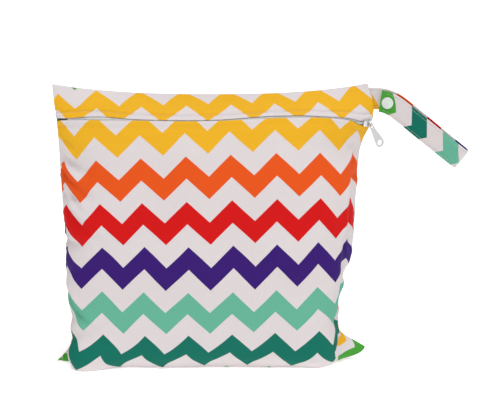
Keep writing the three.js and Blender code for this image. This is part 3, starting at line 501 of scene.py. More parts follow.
class Cloth:
    """The filled bag's cloth. run: 0 at the top seam in front, 1 mid base, 2 at the top seam behind.
    across: share of a row's length from the left side seam to the right one."""

    STEPS = 193
    TURN = 0.012

    def __init__(self, sizes, zip_sizes, strap):
        self.s, self.zip, self.strap = sizes, zip_sizes, strap
        self.half_width, self.half_depth = sizes.bag_width / 2, sizes.bag_depth / 2
        self.strip_edge = sizes.top_strip_width / sizes.cloth_height
        self.lip_edge = (sizes.top_strip_width + sizes.zip_opening) / sizes.cloth_height
        self.zip_line = (self.strip_edge + self.lip_edge) / 2

    def seam(self, side, down):
        rows = LEFT_SEAM if side < 0 else RIGHT_SEAM
        out, back, up = (read(rows, "down", name, down) for name in ("out", "back", "up"))
        return np.stack(
            [side * self.half_width * out, self.half_depth * back, self.s.corner_height * up], -1
        )

    def lines(self, face, down):
        """Rows as fine lines from the left seam to the right one. face and down: one each for a row."""
        down = np.asarray(down, float)[:, None]
        face = np.asarray(face, float)[:, None]
        a = np.sin(math.pi / 2 * np.linspace(-1, 1, self.STEPS))
        square, round_ = (read(ROW_SHAPE, "down", name, down) for name in ("square", "round"))
        rise = np.maximum(0, 1 - np.abs(a) ** square) ** round_
        bulge, up = (
            np.where(
                face < 0, read(FRONT_PROFILE, "down", name, down), read(BACK_PROFILE, "down", name, down)
            )
            for name in ("bulge", "up")
        )
        up = self.s.seam_height * up
        up = up - self.s.base_press * smooth(1 - up / (2 * self.s.base_press))
        share = (a + 1) / 2
        left, right = self.seam(-1, down), self.seam(1, down)
        p = left * (1 - share)[..., None] + right * share[..., None]
        p[..., 1] += (face * self.half_depth * bulge - p[..., 1]) * rise
        p[..., 2] += (up - p[..., 2]) * rise
        at_row = ((down - CORNER_PLACE["down"]) / CORNER_PLACE["tall"]) ** 2
        at_side = ((np.abs(a) - CORNER_PLACE["across"]) / CORNER_PLACE["broad"]) ** 2
        amount = self.half_depth * np.exp(-at_row - at_side) * smooth((1 - np.abs(a)) / 0.04)
        for corner in BASE_CORNERS:
            here = amount * (face == corner["face"]) * (np.where(a < 0, -1, 1) == corner["side"])
            p[..., 0] += corner["side"] * corner["out"] * here
            p[..., 1] += corner["face"] * corner["ahead"] * here
            p[..., 2] -= corner["sink"] * here
        return p

    def zip_edges(self, shares):
        """Runs of the top strip's edge and of the body's lip."""
        below = [read(ZIP_EDGES, "across", name, shares) * MM for name in ("strip", "lip")]
        return [edge / self.s.cloth_height for edge in below]

    def spread(self, face, down, across):
        """How far a face stands off the seams' own plane near the top seam, and behind the strap's end."""
        s, strap = self.s, self.strap
        fade = smooth(1 - (down - self.lip_edge) / 0.2)
        behind = (face > 0) * smooth((across - 0.95) / 0.03) * smooth((self.lip_edge - down) / 0.03)
        return fade * (s.wall + s.fit_gap / 2) + behind * (strap.strap_thickness + 2 * s.fit_gap)

    def smooth_points(self, runs, shares):
        """The undented cloth as a grid of points, rows by columns."""
        runs = np.clip(np.atleast_1d(runs), 0, 2)
        shares = np.clip(np.broadcast_to(shares, (len(runs), np.shape(shares)[-1])), 0, 1)
        if runs.ndim == 2:
            return np.stack([self.bent_row(*row) for row in zip(runs, shares)])
        face = np.where(runs <= 1, -1, 1)
        down = np.where(runs <= 1, runs, 2 - runs)
        lines = self.lines(face, down)
        steps = np.linalg.norm(np.diff(lines, axis=1), axis=-1)
        lengths = np.concatenate([np.zeros((len(runs), 1)), np.cumsum(steps, 1)], 1)
        out = np.empty(shares.shape + (3,))
        for i, (line, length, share) in enumerate(zip(lines, lengths, shares)):
            for k in range(3):
                out[i, :, k] = np.interp(share * length[-1], length, line[:, k])
        out[..., 1] += face[:, None] * self.spread(face[:, None], down[:, None], shares)
        return out

    def bent_row(self, runs, shares):
        """One row whose run differs from column to column."""
        level = spaced(runs.min(), runs.max(), 0.002)
        grid = self.smooth_points(level, shares)
        k = np.clip(np.searchsorted(level, runs) - 1, 0, len(level) - 2)
        t = ((runs - level[k]) / max(level[1] - level[0], 1e-12))[:, None]
        column = np.arange(len(runs))
        return grid[k, column] * (1 - t) + grid[k + 1, column] * t

    def outward(self, runs, shares):
        """The cloth's outward normals over the same grid."""
        runs, shares, turn = np.atleast_1d(runs), np.asarray(shares), self.TURN
        down = self.smooth_points(runs + turn, shares) - self.smooth_points(runs - turn, shares)
        over = self.smooth_points(runs, shares + turn) - self.smooth_points(runs, shares - turn)
        return unit(np.cross(down, over))

    def dents(self, runs, shares):
        """How deep the folds are over the grid."""
        s = self.s
        runs, shares = by_column(runs), np.asarray(shares)
        face, down = np.where(runs <= 1, -1, 1), np.where(runs <= 1, runs, 2 - runs)
        deep = 0
        for fold in zip(*FOLDS.values()):
            side, fold_down, fold_across, long, wide, fold_deep, lean = fold
            x = (shares - fold_across) * s.bag_width
            z = (fold_down - down) * s.cloth_height
            lean = math.radians(lean)
            along = (x * math.cos(lean) + z * math.sin(lean)) / (long * s.bag_width)
            off = (z * math.cos(lean) - x * math.sin(lean)) / (wide * s.bag_width)
            deep = deep + (face == side) * fold_deep * self.half_depth * np.exp(-(along**2) - off**2)
        clear_of_zip = smooth((down - self.lip_edge - self.zip.tape_width / s.cloth_height) / 0.04)
        clear_of_seam = smooth(np.minimum(shares, 1 - shares) / 0.02)
        return deep * clear_of_zip * clear_of_seam

    def points(self, runs, shares, depth=0.0, relief=0.0):
        """The cloth so far below its outer face. relief: what stands proud of it at each point."""
        below = depth + self.dents(runs, shares) - relief
        p = self.smooth_points(runs, shares) - self.outward(runs, shares) * np.atleast_2d(below)[..., None]
        p[..., 2] = np.maximum(p[..., 2], depth)
        return p


# Meshes


def make_object(name, vertices, faces, uvs=None, materials=(), face_materials=None):
    """A smooth-shaded mesh object. uvs: one pair for each corner of each face, in the faces' order."""
    mesh = bpy.data.meshes.new(name)
    mesh.from_pydata([tuple(v) for v in vertices], [], [tuple(f) for f in faces])
    if uvs is not None:
        layer = mesh.uv_layers.new(name="cloth")
        layer.data.foreach_set("uv", np.asarray(uvs, np.float32).ravel())
    for material in materials:
        mesh.materials.append(material)
    if face_materials is not None:
        mesh.polygons.foreach_set("material_index", np.asarray(face_materials, np.int32))
    mesh.validate()
    mesh.shade_smooth()
    made = bpy.data.objects.new(name, mesh)
    bpy.context.scene.collection.objects.link(made)
    return made


class Weaver:
    """Collects vertices, faces and UVs of one mesh."""

    def __init__(self):
        self.vertices, self.faces, self.uvs, self.kinds = [], [], [], []

    def add(self, points):
        """Adds points and returns their numbers in the points' own grid."""
        points = np.asarray(points)
        first = len(self.vertices)
        self.vertices.extend(points.reshape(-1, 3))
        return np.arange(first, len(self.vertices)).reshape(points.shape[:-1])

    def quads(self, ids, uv=None, flip=False, kind=0, wrap=False, patches=()):
        """Faces over a grid of numbers. uv: the grid's UVs. wrap: the last column joins the first.
        patches: other UVs for some of the faces, each a grid of UVs and a grid of true or false."""
        if wrap:
            ids = np.concatenate([ids, ids[:, :1]], 1)
        corners = [(0, 0), (1, 0), (1, 1), (0, 1)]
        if flip:
            corners = corners[::-1]
        rows, columns = ids.shape

        def corner(grid, i, j):
            return grid[i : rows - 1 + i, j : columns - 1 + j]

        faces = np.stack([corner(ids, i, j) for i, j in corners], -1).reshape(-1, 4)
        self.faces.extend(faces.tolist())
        self.kinds.extend([kind] * len(faces))

        def laid(grid):
            grid = np.broadcast_to(grid, ids.shape + (2,))
            return np.stack([corner(grid, i, j) for i, j in corners], -2)

        uvs = laid(np.zeros(2) if uv is None else uv)
        for other, chosen in patches:
            uvs = np.where(chosen[..., None, None], laid(other), uvs)
        self.uvs.append(uvs.reshape(-1, 2))

    def fan(self, ring, flip=False, kind=0):
        """Closes a ring of numbers with one face."""
        ring = list(ring)[::-1] if flip else list(ring)
        self.faces.append(ring)
        self.kinds.append(kind)
        self.uvs.append(np.zeros((len(ring), 2)))

    def tube(self, path, radius, sides=6, flat=1.0):
        """A round thread or wire along a path, with closed ends. radius: one, or one for each point."""
        path = np.asarray(path, float)
        radius = np.broadcast_to(radius, len(path))
        ahead = unit(np.gradient(path, axis=0))
        across = np.cross(ahead[0], (0.0, 0.0, 1.0))
        if np.linalg.norm(across) < 0.1:
            across = np.cross(ahead[0], (0.0, 1.0, 0.0))
        angles = np.linspace(0, 2 * math.pi, sides, endpoint=False)
        rings = []
        for point, direction, r in zip(path, ahead, radius):
            across = unit(across - direction * (across @ direction))
            other = np.cross(direction, across)
            rings.append(
                point + r * (np.cos(angles)[:, None] * across + flat * np.sin(angles)[:, None] * other)
            )
        ids = self.add(rings)
        self.quads(ids, wrap=True, flip=True)
        self.fan(ids[0], flip=True)
        self.fan(ids[-1])

    def object(self, name, *materials):
        uvs = np.concatenate(self.uvs) if self.uvs else None
        return make_object(name, self.vertices, self.faces, uvs, materials, self.kinds)


def modify(piece, kind, **settings):
    """Adds a modifier with its settings."""
    modifier = piece.modifiers.new(kind.title(), kind)
    for name, value in settings.items():
        setattr(modifier, name, value)
    return modifier


def apply_modifiers(piece):
    """Makes the modified mesh the piece's own."""
    graph = bpy.context.evaluated_depsgraph_get()
    mesh = bpy.data.meshes.new_from_object(piece.evaluated_get(graph))
    old = piece.data
    piece.modifiers.clear()
    piece.data = mesh
    bpy.data.meshes.remove(old)


def seat(piece, slot, *nodes, body="bag"):
    """The piece rides on its body and stands for the solids, which are hidden. slot: not used."""
    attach(piece, body)
    if nodes:
        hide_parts(*nodes)
    return piece


# Materials


class Value:
    """One socket of a material's nodes, with the arithmetic that the finishes use."""

    def __init__(self, shader, socket):
        self.shader, self.socket = shader, socket

    def math(self, operation, *others):
        return self.shader.node("ShaderNodeMath", dict(operation=operation), [self, *others])

    def __add__(self, other):
        return self.math("ADD", other)

    def __sub__(self, other):
        return self.math("SUBTRACT", other)

    def __rsub__(self, other):
        return self.shader.node("ShaderNodeMath", dict(operation="SUBTRACT"), [other, self])

    def __mul__(self, other):
        return self.math("MULTIPLY", other)

    def __truediv__(self, other):
        return self.math("DIVIDE", other)

    def __abs__(self):
        return self.math("ABSOLUTE")

    __radd__, __rmul__ = __add__, __mul__


class Shader:
    """A material whose nodes are written as expressions."""

    def __init__(self, name):
        self.material = bpy.data.materials.new(name)
        self.material.use_nodes = True
        self.tree = self.material.node_tree
        self.tree.nodes.clear()

    def node(self, kind, settings=None, inputs=(), output=0):
        """A node of any type: its settings first, then its sockets' values or links."""
        made = self.tree.nodes.new(kind)
        for name, value in (settings or {}).items():
            if name == "stops":
                self.set_stops(made.color_ramp, value)
            else:
                setattr(made, name, value)
        pairs = inputs.items() if isinstance(inputs, dict) else enumerate(inputs)
        for name, value in pairs:
            if isinstance(value, Value):
                self.tree.links.new(value.socket, made.inputs[name])
            else:
                made.inputs[name].default_value = value
        return Value(self, made.outputs[output]) if made.outputs else None

    @staticmethod
    def set_stops(ramp, stops):
        ramp.interpolation = "CONSTANT"
        while len(ramp.elements) > 1:
            ramp.elements.remove(ramp.elements[-1])
        for k, (position, rgb) in enumerate(stops):
            element = ramp.elements[0] if k == 0 else ramp.elements.new(position)
            element.position = position
            element.color = (*rgb, 1)

    def uv(self):
        """The cloth's own two lengths, across and down."""
        place = self.node("ShaderNodeUVMap", dict(uv_map="cloth"))
        across = self.node("ShaderNodeSeparateXYZ", inputs=[place])
        return across, Value(self, across.socket.node.outputs["Y"])

    def here(self):
        """A point of the piece, for grain that doesn't follow the cloth."""
        return self.node("ShaderNodeTexCoord", output="Object")

    def noise(self, scale, detail=2.0, vector=None, roughness=0.5):
        return self.node(
            "ShaderNodeTexNoise",
            inputs=dict(Vector=vector or self.here(), Scale=scale, Detail=detail, Roughness=roughness),
        )

    def mix(self, factor, a, b):
        """Colour a where the factor is 0 and b where it is 1."""
        a, b = ((*c, 1) if isinstance(c, (tuple, list)) and len(c) == 3 else c for c in (a, b))
        return self.node("ShaderNodeMix", dict(data_type="RGBA"), {0: factor, 6: a, 7: b}, 2)

    def step(self, value, first, last, kind="SMOOTHSTEP"):
        """From 0 to 1 while the value goes from the first number to the last."""
        ends = {"Value": value, "From Min": first, "From Max": last}
        return self.node("ShaderNodeMapRange", dict(interpolation_type=kind), ends)

    def bump(self, height, distance, strength=1.0, normal=None):
        inputs = dict(Height=height, Distance=distance, Strength=strength)
        if normal:
            inputs["Normal"] = normal
        return self.node("ShaderNodeBump", inputs=inputs)

    def finish(self, **inputs):
        """The surface. Names are the shader's sockets with _ for a space."""
        named = {name.replace("_", " "): value for name, value in inputs.items()}
        surface = self.node("ShaderNodeBsdfPrincipled", inputs=named)
        self.node("ShaderNodeOutputMaterial", inputs=dict(Surface=surface))
        return self.material


def fraction(value):
    return value.math("FRACT")


def wave(value):
    """From 0 to 1 and back as the value grows by one."""
    return 1 - abs(2 * fraction(value) - 1)


def knit(shader, across, down):
    """Fine jersey loops: ribs of slanted stitches, with a little unevenness."""
    loops = across / 0.0011
    courses = down / 0.0009
    slant = wave(loops) * 0.5
    return wave(loops) * 0.6 + wave(courses + slant) * 0.4


def printed_cloth(name, colours, sizes, start, pitch, height, shift=0.0):
    """Laminated knit printed with zigzag bands. start: top edge of the first band's peaks."""
    shader = Shader(name)
    across, down = shader.uv()
    zigzag = wave((across - shift) / sizes.zigzag)
    band = (down + (shader.noise(60) - 0.5) * 0.0006 - start - zigzag * height) / pitch
    count = len(COLOUR_ORDER)
    order = fraction(band.math("FLOOR") / count + 0.5 / count)
    stops = [(k / count, tuple(getattr(colours, key))) for k, key in enumerate(COLOUR_ORDER)]
    ramp = ramp_of(shader, stops, order)
    edge = 0.007
    within = fraction(band)
    rising = shader.step(within, 0.0, 2 * edge)
    falling = 1 - shader.step(within, sizes.band - edge, sizes.band + edge)
    tint = shader.mix(falling * rising, tuple(colours.ground), ramp)
    mottle = shader.noise(900, 3)
    loops = knit(shader, across, down)
    # Random mottle, and painted shade: the cloth darkens where the knit's loops are low.
    shade = (mottle - 0.4) * 0.1 + (1 - loops) * 0.06
    tint = shader.mix(shade, tint, (0.03, 0.02, 0.03))
    soft = shader.bump(shader.noise(26, 2), 0.0016, 0.35)
    weave = shader.bump(loops, 0.00012, 0.6, soft)
    roughness = 0.62 + shader.noise(150) * 0.14
    return shader.finish(
        Base_Color=tint,
        Roughness=roughness,
        Specular_IOR_Level=0.14,
        Normal=weave,
    )


def ramp_of(shader, stops, factor):
    """A colour for each step of the factor, with hard edges."""
    return shader.node("ShaderNodeValToRGB", dict(stops=stops), [factor])


def lining():
    """The laminate on the inner side: smooth, white, a little glossy."""
    shader = Shader("laminated_lining")
    creases = shader.bump(shader.noise(90, 3), 0.0006, 0.4)
    tint = shader.mix(shader.noise(40), (0.8, 0.79, 0.79), (0.72, 0.71, 0.73))
    return shader.finish(Base_Color=tint, Roughness=0.38 + shader.noise(120) * 0.1, Normal=creases)


def woven_tape():
    """Herringbone tape: slanted ribs that turn back every few threads."""
    shader = Shader("woven_zip_tape")
    across, down = shader.uv()
    slant = wave(down / 0.0022) * 1.2
    ribs = wave(across / 0.00062 + slant)
    threads = wave(down / 0.00045)
    cloth = ribs * 0.7 + threads * 0.3
    # Painted shade: the tape is darker where its ribs and threads are low.
    tint = shader.mix(cloth, (0.62, 0.61, 0.6), (0.82, 0.81, 0.8))
    ribbed = shader.bump(cloth, 0.00015, 0.8)
    return shader.finish(Base_Color=tint, Roughness=0.78 + cloth * 0.1, Sheen_Weight=0.1, Normal=ribbed)


def nylon(name, tint, rough):
    """Moulded or drawn resin with faint flow marks."""
    shader = Shader(name)
    flow = shader.noise(700, 2)
    shade = shader.mix(flow * 0.3, tint, tuple(0.86 * x for x in tint))
    return shader.finish(
        Base_Color=shade,
        Roughness=rough + shader.noise(300) * 0.1,
        Normal=shader.bump(flow, 0.00004, 0.4),
        Subsurface_Weight=0.08,
        Subsurface_Scale=0.001,
        Coat_Weight=0.15,
        Coat_Roughness=0.2,
    )


def plated_metal(name, tint, metallic, rough):
    """Cast metal under a thin pale finish: soft casting grain, and a painted highlight that makes its sharp
    edges paler.
    """
    shader = Shader(name)
    grain = shader.noise(1500, 3)
    sharpness = shader.node("ShaderNodeNewGeometry", output="Pointiness")
    # Painted highlight: the sharp edges are mixed towards near white.
    edges = shader.step(sharpness, 0.5, 0.62, "LINEAR")
    shade = shader.mix(edges * 0.5, tint, (0.9, 0.9, 0.9))
    shade = shader.mix(grain * 0.25, shade, tuple(0.75 * x for x in tint))
    return shader.finish(
        Base_Color=shade,
        Metallic=metallic,
        Roughness=rough + grain * 0.12,
        Normal=shader.bump(grain, 0.00003, 0.5),
    )


def thread():
    """Twisted sewing thread."""
    shader = Shader("sewing_thread")
    twist = shader.noise(2500, 2)
    tint = shader.mix(twist, (0.42, 0.39, 0.35), (0.6, 0.57, 0.53))
    return shader.finish(Base_Color=tint, Roughness=0.7, Sheen_Weight=0.1, Normal=shader.bump(twist, 0.0001))


def studio_floor():
    """Seamless white paper."""
    shader = Shader("white_paper")
    fibre = shader.noise(400, 3)
    tint = shader.mix(fibre, (0.93, 0.93, 0.93), (0.96, 0.96, 0.96))
    return shader.finish(
        Base_Color=tint,
        Roughness=0.9,
        Specular_IOR_Level=0.1,
        Emission_Color=(1, 1, 1, 1),
        Emission_Strength=0.42,
    )


# Pieces


def weights(keys, at):
    """How much each key's value counts at some places."""
    own = np.eye(len(keys))
    return np.stack([read(dict(key=keys, value=row), "key", "value", at) for row in own], -1)


def cloth_uv(cloth, runs, shares):
    """Across and down lengths for the print, with its drift on the front that fades out behind."""
    runs = by_column(runs)
    runs, shares = np.broadcast_arrays(runs, np.broadcast_to(shares, (len(runs), np.shape(shares)[-1])))
    down = weights(DRIFT_DOWN, np.minimum(runs, 1))
    across = weights(DRIFT_ACROSS, shares)
    fade = MM * smooth(1 - (runs - 1) / 0.5)
    sideways, downward = (
        fade * np.einsum("rci,ij,rcj->rc", down, drift, across) for drift in (DRIFT_SIDEWAYS, DRIFT_DOWNWARD)
    )
    return np.stack([shares * cloth.s.bag_width + sideways, runs * cloth.s.cloth_height + downward], -1)


def ear_patches(cloth, sizes, runs, shares):
    """The back's print for each ear's faces, gathered past its lime, and white for the fold beside it."""
    s = cloth.s
    middle_run = ((runs[1:] + runs[:-1]) / 2)[:, None]
    from_left = (shares[1:] + shares[:-1]) / 2
    level = (middle_run > EAR_RUNS[0]) & (middle_run < EAR_RUNS[1])
    patches = []
    for ear in EARS:
        across = (shares - ear["valley"]) * s.bag_width + sizes.zigzag / 2
        zigzag = 1 - np.abs(2 * (across / sizes.zigzag % 1) - 1)
        lime_end = sizes.body_start + (6 + sizes.band) * sizes.pitch + zigzag * sizes.zigzag_height
        down = (2 - runs[:, None]) * s.cloth_height - ear["lead"] * MM
        down = down + EAR_GATHER * np.maximum(0, down - lime_end)
        white = np.broadcast_to(lime_end + (1 - sizes.band) / 2 * sizes.pitch, down.shape)
        from_seam = from_left if ear["side"] < 0 else 1 - from_left
        across = np.broadcast_to(across, down.shape)
        patches.append((np.stack([across, down], -1), level & (from_seam < ear["reach"])))
        beside = (from_seam >= ear["reach"]) & (from_seam < ear["fold"])
        patches.append((np.stack([across, white], -1), level & beside))
    return patches


def welt(cloth, runs, shares, edge, sign):
    """The turned edge beside the zip: a soft roll, then the groove that the topstitching pulls in. It stands
    proud and thins where it laps over the coil. Gives what stands proud and how far the inner side rises."""
    off = (by_column(runs) - edge) * cloth.s.cloth_height * sign
    w = {name: value * MM for name, value in WELT.items()}
    groove = -w["groove"] * np.exp(-(((off - STITCH_LINE) / w["groove_wide"]) ** 2))
    roll = w["roll"] * np.exp(-(((off - 0.5 * STITCH_LINE) / w["roll_wide"]) ** 2))
    strip, lip = cloth.zip_edges(shares)
    lap = smooth((cloth.s.zip_opening - (lip - strip) * cloth.s.cloth_height) / w["lap"])
    proud = w["proud"] * lap * smooth(1 - off / w["fade"])
    behind = smooth(1 - (off - w["thin_from"]) / (w["fade"] - w["thin_from"]))
    thin = (cloth.s.wall + 0.05 * MM) * lap * behind
    return groove + roll + proud, thin


def side_puckers(runs, shares, width, seed):
    """Short ripples that the sewn side seams gather into the cloth."""
    rng = np.random.default_rng(seed)
    down = np.asarray(runs)[:, None]
    relief = 0
    for side in (0, 1):
        from_seam = np.abs(shares - side) * width
        place = np.cumsum(rng.uniform(*PUCKERS["gap"], 60))
        for at in place[place < 2]:
            drawn = [rng.uniform(*PUCKERS[name]) for name in ("reach", "wide", "high", "lean")]
            reach, wide, high, lean = drawn
            line = (down - at + lean * from_seam) / wide
            ripple = np.exp(-(line**2)) * np.exp(-((from_seam / reach) ** 2)) * smooth(from_seam / 0.004)
            relief = relief + high * PUCKERS["side"][side] * MM * ripple
    return relief


def creases(cloth, runs, shares):
    """The cloth's sharper creases, each a valley with a ridge along its upper side."""
    s = cloth.s
    face, down = np.where(runs <= 1, -1, 1)[:, None], np.where(runs <= 1, runs, 2 - runs)[:, None]
    relief = 0
    for side, at_down, at_across, long, wide, deep, lean in zip(*CREASES.values()):
        x = (shares - at_across) * s.bag_width / MM
        z = (at_down - down) * s.cloth_height / MM
        lean = math.radians(lean)
        along = (x * math.cos(lean) + z * math.sin(lean)) / long
        bow = 0.18 * (along**2 - 0.5)
        off = (z * math.cos(lean) - x * math.sin(lean)) / wide - bow
        shape = 0.75 * np.exp(-((off - 1.35) ** 2) / 1.4) - np.exp(-(off**2))
        relief = relief + (face == side) * CREASE_STRENGTH * deep * MM * np.exp(-(along**2)) * shape
    return relief


def swells(cloth, runs, shares, seed):
    """Broad soft waves where the filling presses against the cloth."""
    rng = np.random.default_rng(seed)
    x, z = shares * cloth.s.bag_width, runs[:, None] * cloth.s.cloth_height
    relief = 0
    for _ in range(SWELLS["count"]):
        lean, length = rng.uniform(0, math.pi), rng.uniform(*SWELLS["length"])
        turn = (x * math.cos(lean) + z * math.sin(lean)) / length + rng.uniform(0, 1)
        relief = relief + length * SWELLS["height"] * np.sin(2 * math.pi * turn)
    return relief


def cloth_relief(cloth, runs, shares):
    """What stands proud of the plain cloth below the zip and behind."""
    runs = np.asarray(runs)
    down = np.where(runs <= 1, runs, 2 - runs)[:, None]
    puckers = side_puckers(runs, shares, cloth.s.bag_width, 4) + creases(cloth, runs, shares)
    puckers = puckers + swells(cloth, runs, shares, 7)
    clear_of_zip = smooth((down - cloth.lip_edge - 0.02) / 0.06)
    clear_of_seam = smooth(np.minimum(shares, 1 - shares) / 0.012)
    return puckers * clear_of_zip * clear_of_seam


def hollow(relief):
    """The relief's valleys, a little wider than they are, for the skin behind them."""
    deep = np.minimum(relief, 0)
    for axis in (0, 1):
        for _ in range(3):
            deep = np.minimum(deep, np.minimum(np.roll(deep, 1, axis), np.roll(deep, -1, axis)))
    return deep


def build_body(cloth, sizes, materials):
    """The body panel: outer and inner skins, one mesh, sewn to itself along the side seams."""
    s = cloth.s
    shares = spaced(0, 1, s.column / s.bag_width)
    downs = spaced(cloth.lip_edge, 1, s.column / s.cloth_height)
    above = spaced(2 - cloth.lip_edge, 2, s.column / s.cloth_height)[1:]
    behind = 2 - downs[::-1][1:]
    runs = np.concatenate([downs, behind, above])
    sewn = len(downs) + len(behind)
    _, lip = cloth.zip_edges(shares)
    pull = smooth(1 - (runs - cloth.lip_edge) / 0.06)[:, None]
    bent = runs[:, None] + (lip - cloth.lip_edge) * pull
    near = int((pull[:, 0] > 0).sum())
    turned, thin = welt(cloth, bent, shares, lip, 1)
    in_front = (runs <= 1)[:, None]
    relief = cloth_relief(cloth, runs, shares) + turned * in_front
    outer = cloth.points(runs, shares, 0, relief)
    outer[:near] = cloth.points(bent[:near], shares, 0, relief[:near])
    for side, j in ((-1, 0), (1, -1)):
        down = np.where(runs <= 1, runs, 2 - runs)[:sewn]
        outer[:sewn, j] = cloth.seam(side, down)
    outer[..., 2] = np.maximum(outer[..., 2], 0)
    weaver = Weaver()
    ids = weaver.add(outer)
    mirrored = sewn - 1 - np.arange(sewn)
    first_half = np.arange(sewn) < len(downs)
    for j in (0, -1):
        ids[:sewn, j] = np.where(first_half, ids[:sewn, j], ids[mirrored, j])
    weaver.quads(ids, cloth_uv(cloth, bent, shares), patches=ear_patches(cloth, sizes, runs, shares))

    row = np.arange(len(runs))
    third = np.minimum(row, sewn - 1 - row) % 3 == 0
    keep = np.flatnonzero((row >= sewn - 1) | third | (row == len(downs) - 1))
    inner_runs = runs[keep]
    inner_down = np.where(inner_runs <= 1, inner_runs, 2 - inner_runs)
    inner_sewn = inner_runs <= 2 - cloth.lip_edge + 1e-9
    inset = np.where(inner_sewn, read(ROW_SHAPE, "down", "closed", inner_down) / 2, 0)[:, None]
    inner_shares = inset + (1 - 2 * inset) * shares
    inner = cloth.points(inner_runs, inner_shares, s.wall, hollow(relief)[keep])
    near_inner = int((pull[keep, 0] > 0).sum())
    depth = s.wall - (thin * in_front)[keep][:near_inner]
    inner[:near_inner] = cloth.points(bent[keep][:near_inner], inner_shares[:near_inner], depth, 0)
    twin = cloth.points(2 - inner_runs, inner_shares, s.wall, 0)
    for j in (0, -1):
        inner[inner_sewn, j] = (inner[inner_sewn, j] + twin[inner_sewn, j]) / 2
    inner[..., 2] = np.maximum(inner[..., 2], s.wall)
    inner_ids = weaver.add(inner)
    count = int(inner_sewn.sum())
    half = int((inner_runs <= 1).sum())
    for j in (0, -1):
        for i in range(half, count):
            inner_ids[i, j] = inner_ids[count - 1 - i, j]
    weaver.quads(inner_ids, cloth_uv(cloth, inner_runs, inner_shares), flip=True, kind=1)
    lip_uv = cloth_uv(cloth, bent[[0, 0]], shares)

    def edge(outer_line, inner_line, flip, uv=None):
        weaver.quads(np.stack([outer_line, inner_line]), uv, flip=flip)

    edge(ids[0], inner_ids[0], True, lip_uv)
    edge(ids[-1], inner_ids[-1], False, cloth_uv(cloth, runs[[-1, -1]], shares))
    free = slice(sewn - 1, None)
    inner_free = slice(count - 1, None)
    edge(ids[free, 0], inner_ids[inner_free, 0], False)
    edge(ids[free, -1], inner_ids[inner_free, -1], True)
    return weaver.object("printed_body", *materials)


def build_sheet(cloth, name, runs, shares, top, bottom, relief, materials):
    """A strip of cloth or tape with thickness, from one depth below the cloth's face to another."""
    weaver = Weaver()
    uv = cloth_uv(cloth, runs, shares)
    outer = cloth.points(runs, shares, top, relief)
    inner = cloth.points(runs, shares, bottom, 0)
    outer, inner = weaver.add(outer), weaver.add(inner)
    weaver.quads(outer, uv)
    weaver.quads(inner, uv, flip=True, kind=len(materials) - 1)
    weaver.quads(np.stack([outer[0], inner[0]]), uv[[0, 0]], flip=True)
    weaver.quads(np.stack([outer[-1], inner[-1]]), uv[[-1, -1]])
    weaver.quads(np.stack([outer[:, 0], inner[:, 0]]), uv[:, [0, 0]].swapaxes(0, 1))
    weaver.quads(np.stack([outer[:, -1], inner[:, -1]]), uv[:, [-1, -1]].swapaxes(0, 1), flip=True)
    return weaver.object(name, *materials)


def soften(piece, width, segments=2, angle=50):
    """Rounds the sharp edges."""
    modify(
        piece,
        "BEVEL",
        width=width,
        segments=segments,
        limit_method="ANGLE",
        angle_limit=math.radians(angle),
        harden_normals=False,
    )
    apply_modifiers(piece)
    piece.data.shade_smooth()


def depths(cloth):
    """Depths below the cloth's face of the coil and the tapes."""
    s, z = cloth.s, cloth.zip
    coil_bottom = s.fit_gap / 2 + z.coil_thickness
    tape_top = max(coil_bottom, s.wall) + 1.5 * s.fit_gap
    return coil_bottom, tape_top, tape_top + z.tape_thickness


def build_coil(cloth, material):
    """The closed coil: two rows of flattened turns whose heads lie between each other."""
    s, z = cloth.s, cloth.zip
    coil_bottom, _, _ = depths(cloth)
    neck_from = z.slider_length / 2 - NECK_LENGTH - NECK_SETBACK
    first = z.zip_end_inset
    last = s.bag_width - (z.slider_from_seam - neck_from + s.fit_gap)
    turns = int((last - first - 2 * z.coil_wire) / z.coil_pitch)
    per_turn = 14
    angle = np.linspace(0, 2 * math.pi * turns, turns * per_turn + 1)
    half = s.zip_opening / 2 - s.fit_gap
    wire = z.coil_wire / 2
    weaver = Weaver()
    for side in (-1, 1):
        shift = 0 if side < 0 else z.coil_pitch / 2
        along = first + z.coil_wire + shift + angle / (2 * math.pi) * z.coil_pitch
        reach_in, reach_out = 0.45 * MM, half - wire
        middle, swing = (reach_out - reach_in) / 2, (reach_out + reach_in) / 2
        bend = np.cos(angle)
        over = middle - swing * np.sign(bend) * np.abs(bend) ** 0.7
        turn = np.sin(angle)
        deep = (s.fit_gap / 2 + coil_bottom) / 2
        deep = deep - (z.coil_thickness / 2 - wire) * np.sign(turn) * np.abs(turn) ** 0.6
        share = along / s.bag_width
        middle_run = sum(cloth.zip_edges(share))[None] / 2
        base = cloth.smooth_points(middle_run, share)[0]
        normal = cloth.outward(middle_run, share)[0]
        across = unit(cloth.smooth_points(middle_run + s.zip_opening / 2 / s.cloth_height, share)[0] - base)
        path = base + across * (side * over)[:, None] - normal * deep[:, None]
        weaver.tube(path, wire, 5)
    return weaver.object("zip_coil_turns", material)


def slider_frame(cloth):
    """x along the zip to the right, y up the cloth, z out of it."""
    s, z = cloth.s, cloth.zip
    across = 1 - z.slider_from_seam / s.bag_width
    step = z.slider_length / 2 / s.bag_width
    ends = cloth.points([cloth.zip_line], np.array([across - step, across, across + step]))[0]
    x = unit(ends[2] - ends[0])
    out = cloth.outward([cloth.zip_line], np.array([across]))[0, 0]
    out = unit(out - x * (out @ x))
    return basis(x, np.cross(out, x), out, ends[1])


def basis(x, y, z, origin):
    made = Matrix.Identity(4)
    for k, axis in enumerate((x, y, z, origin)):
        made.col[k] = (*axis, 1.0 if k == 3 else 0.0)
    return made


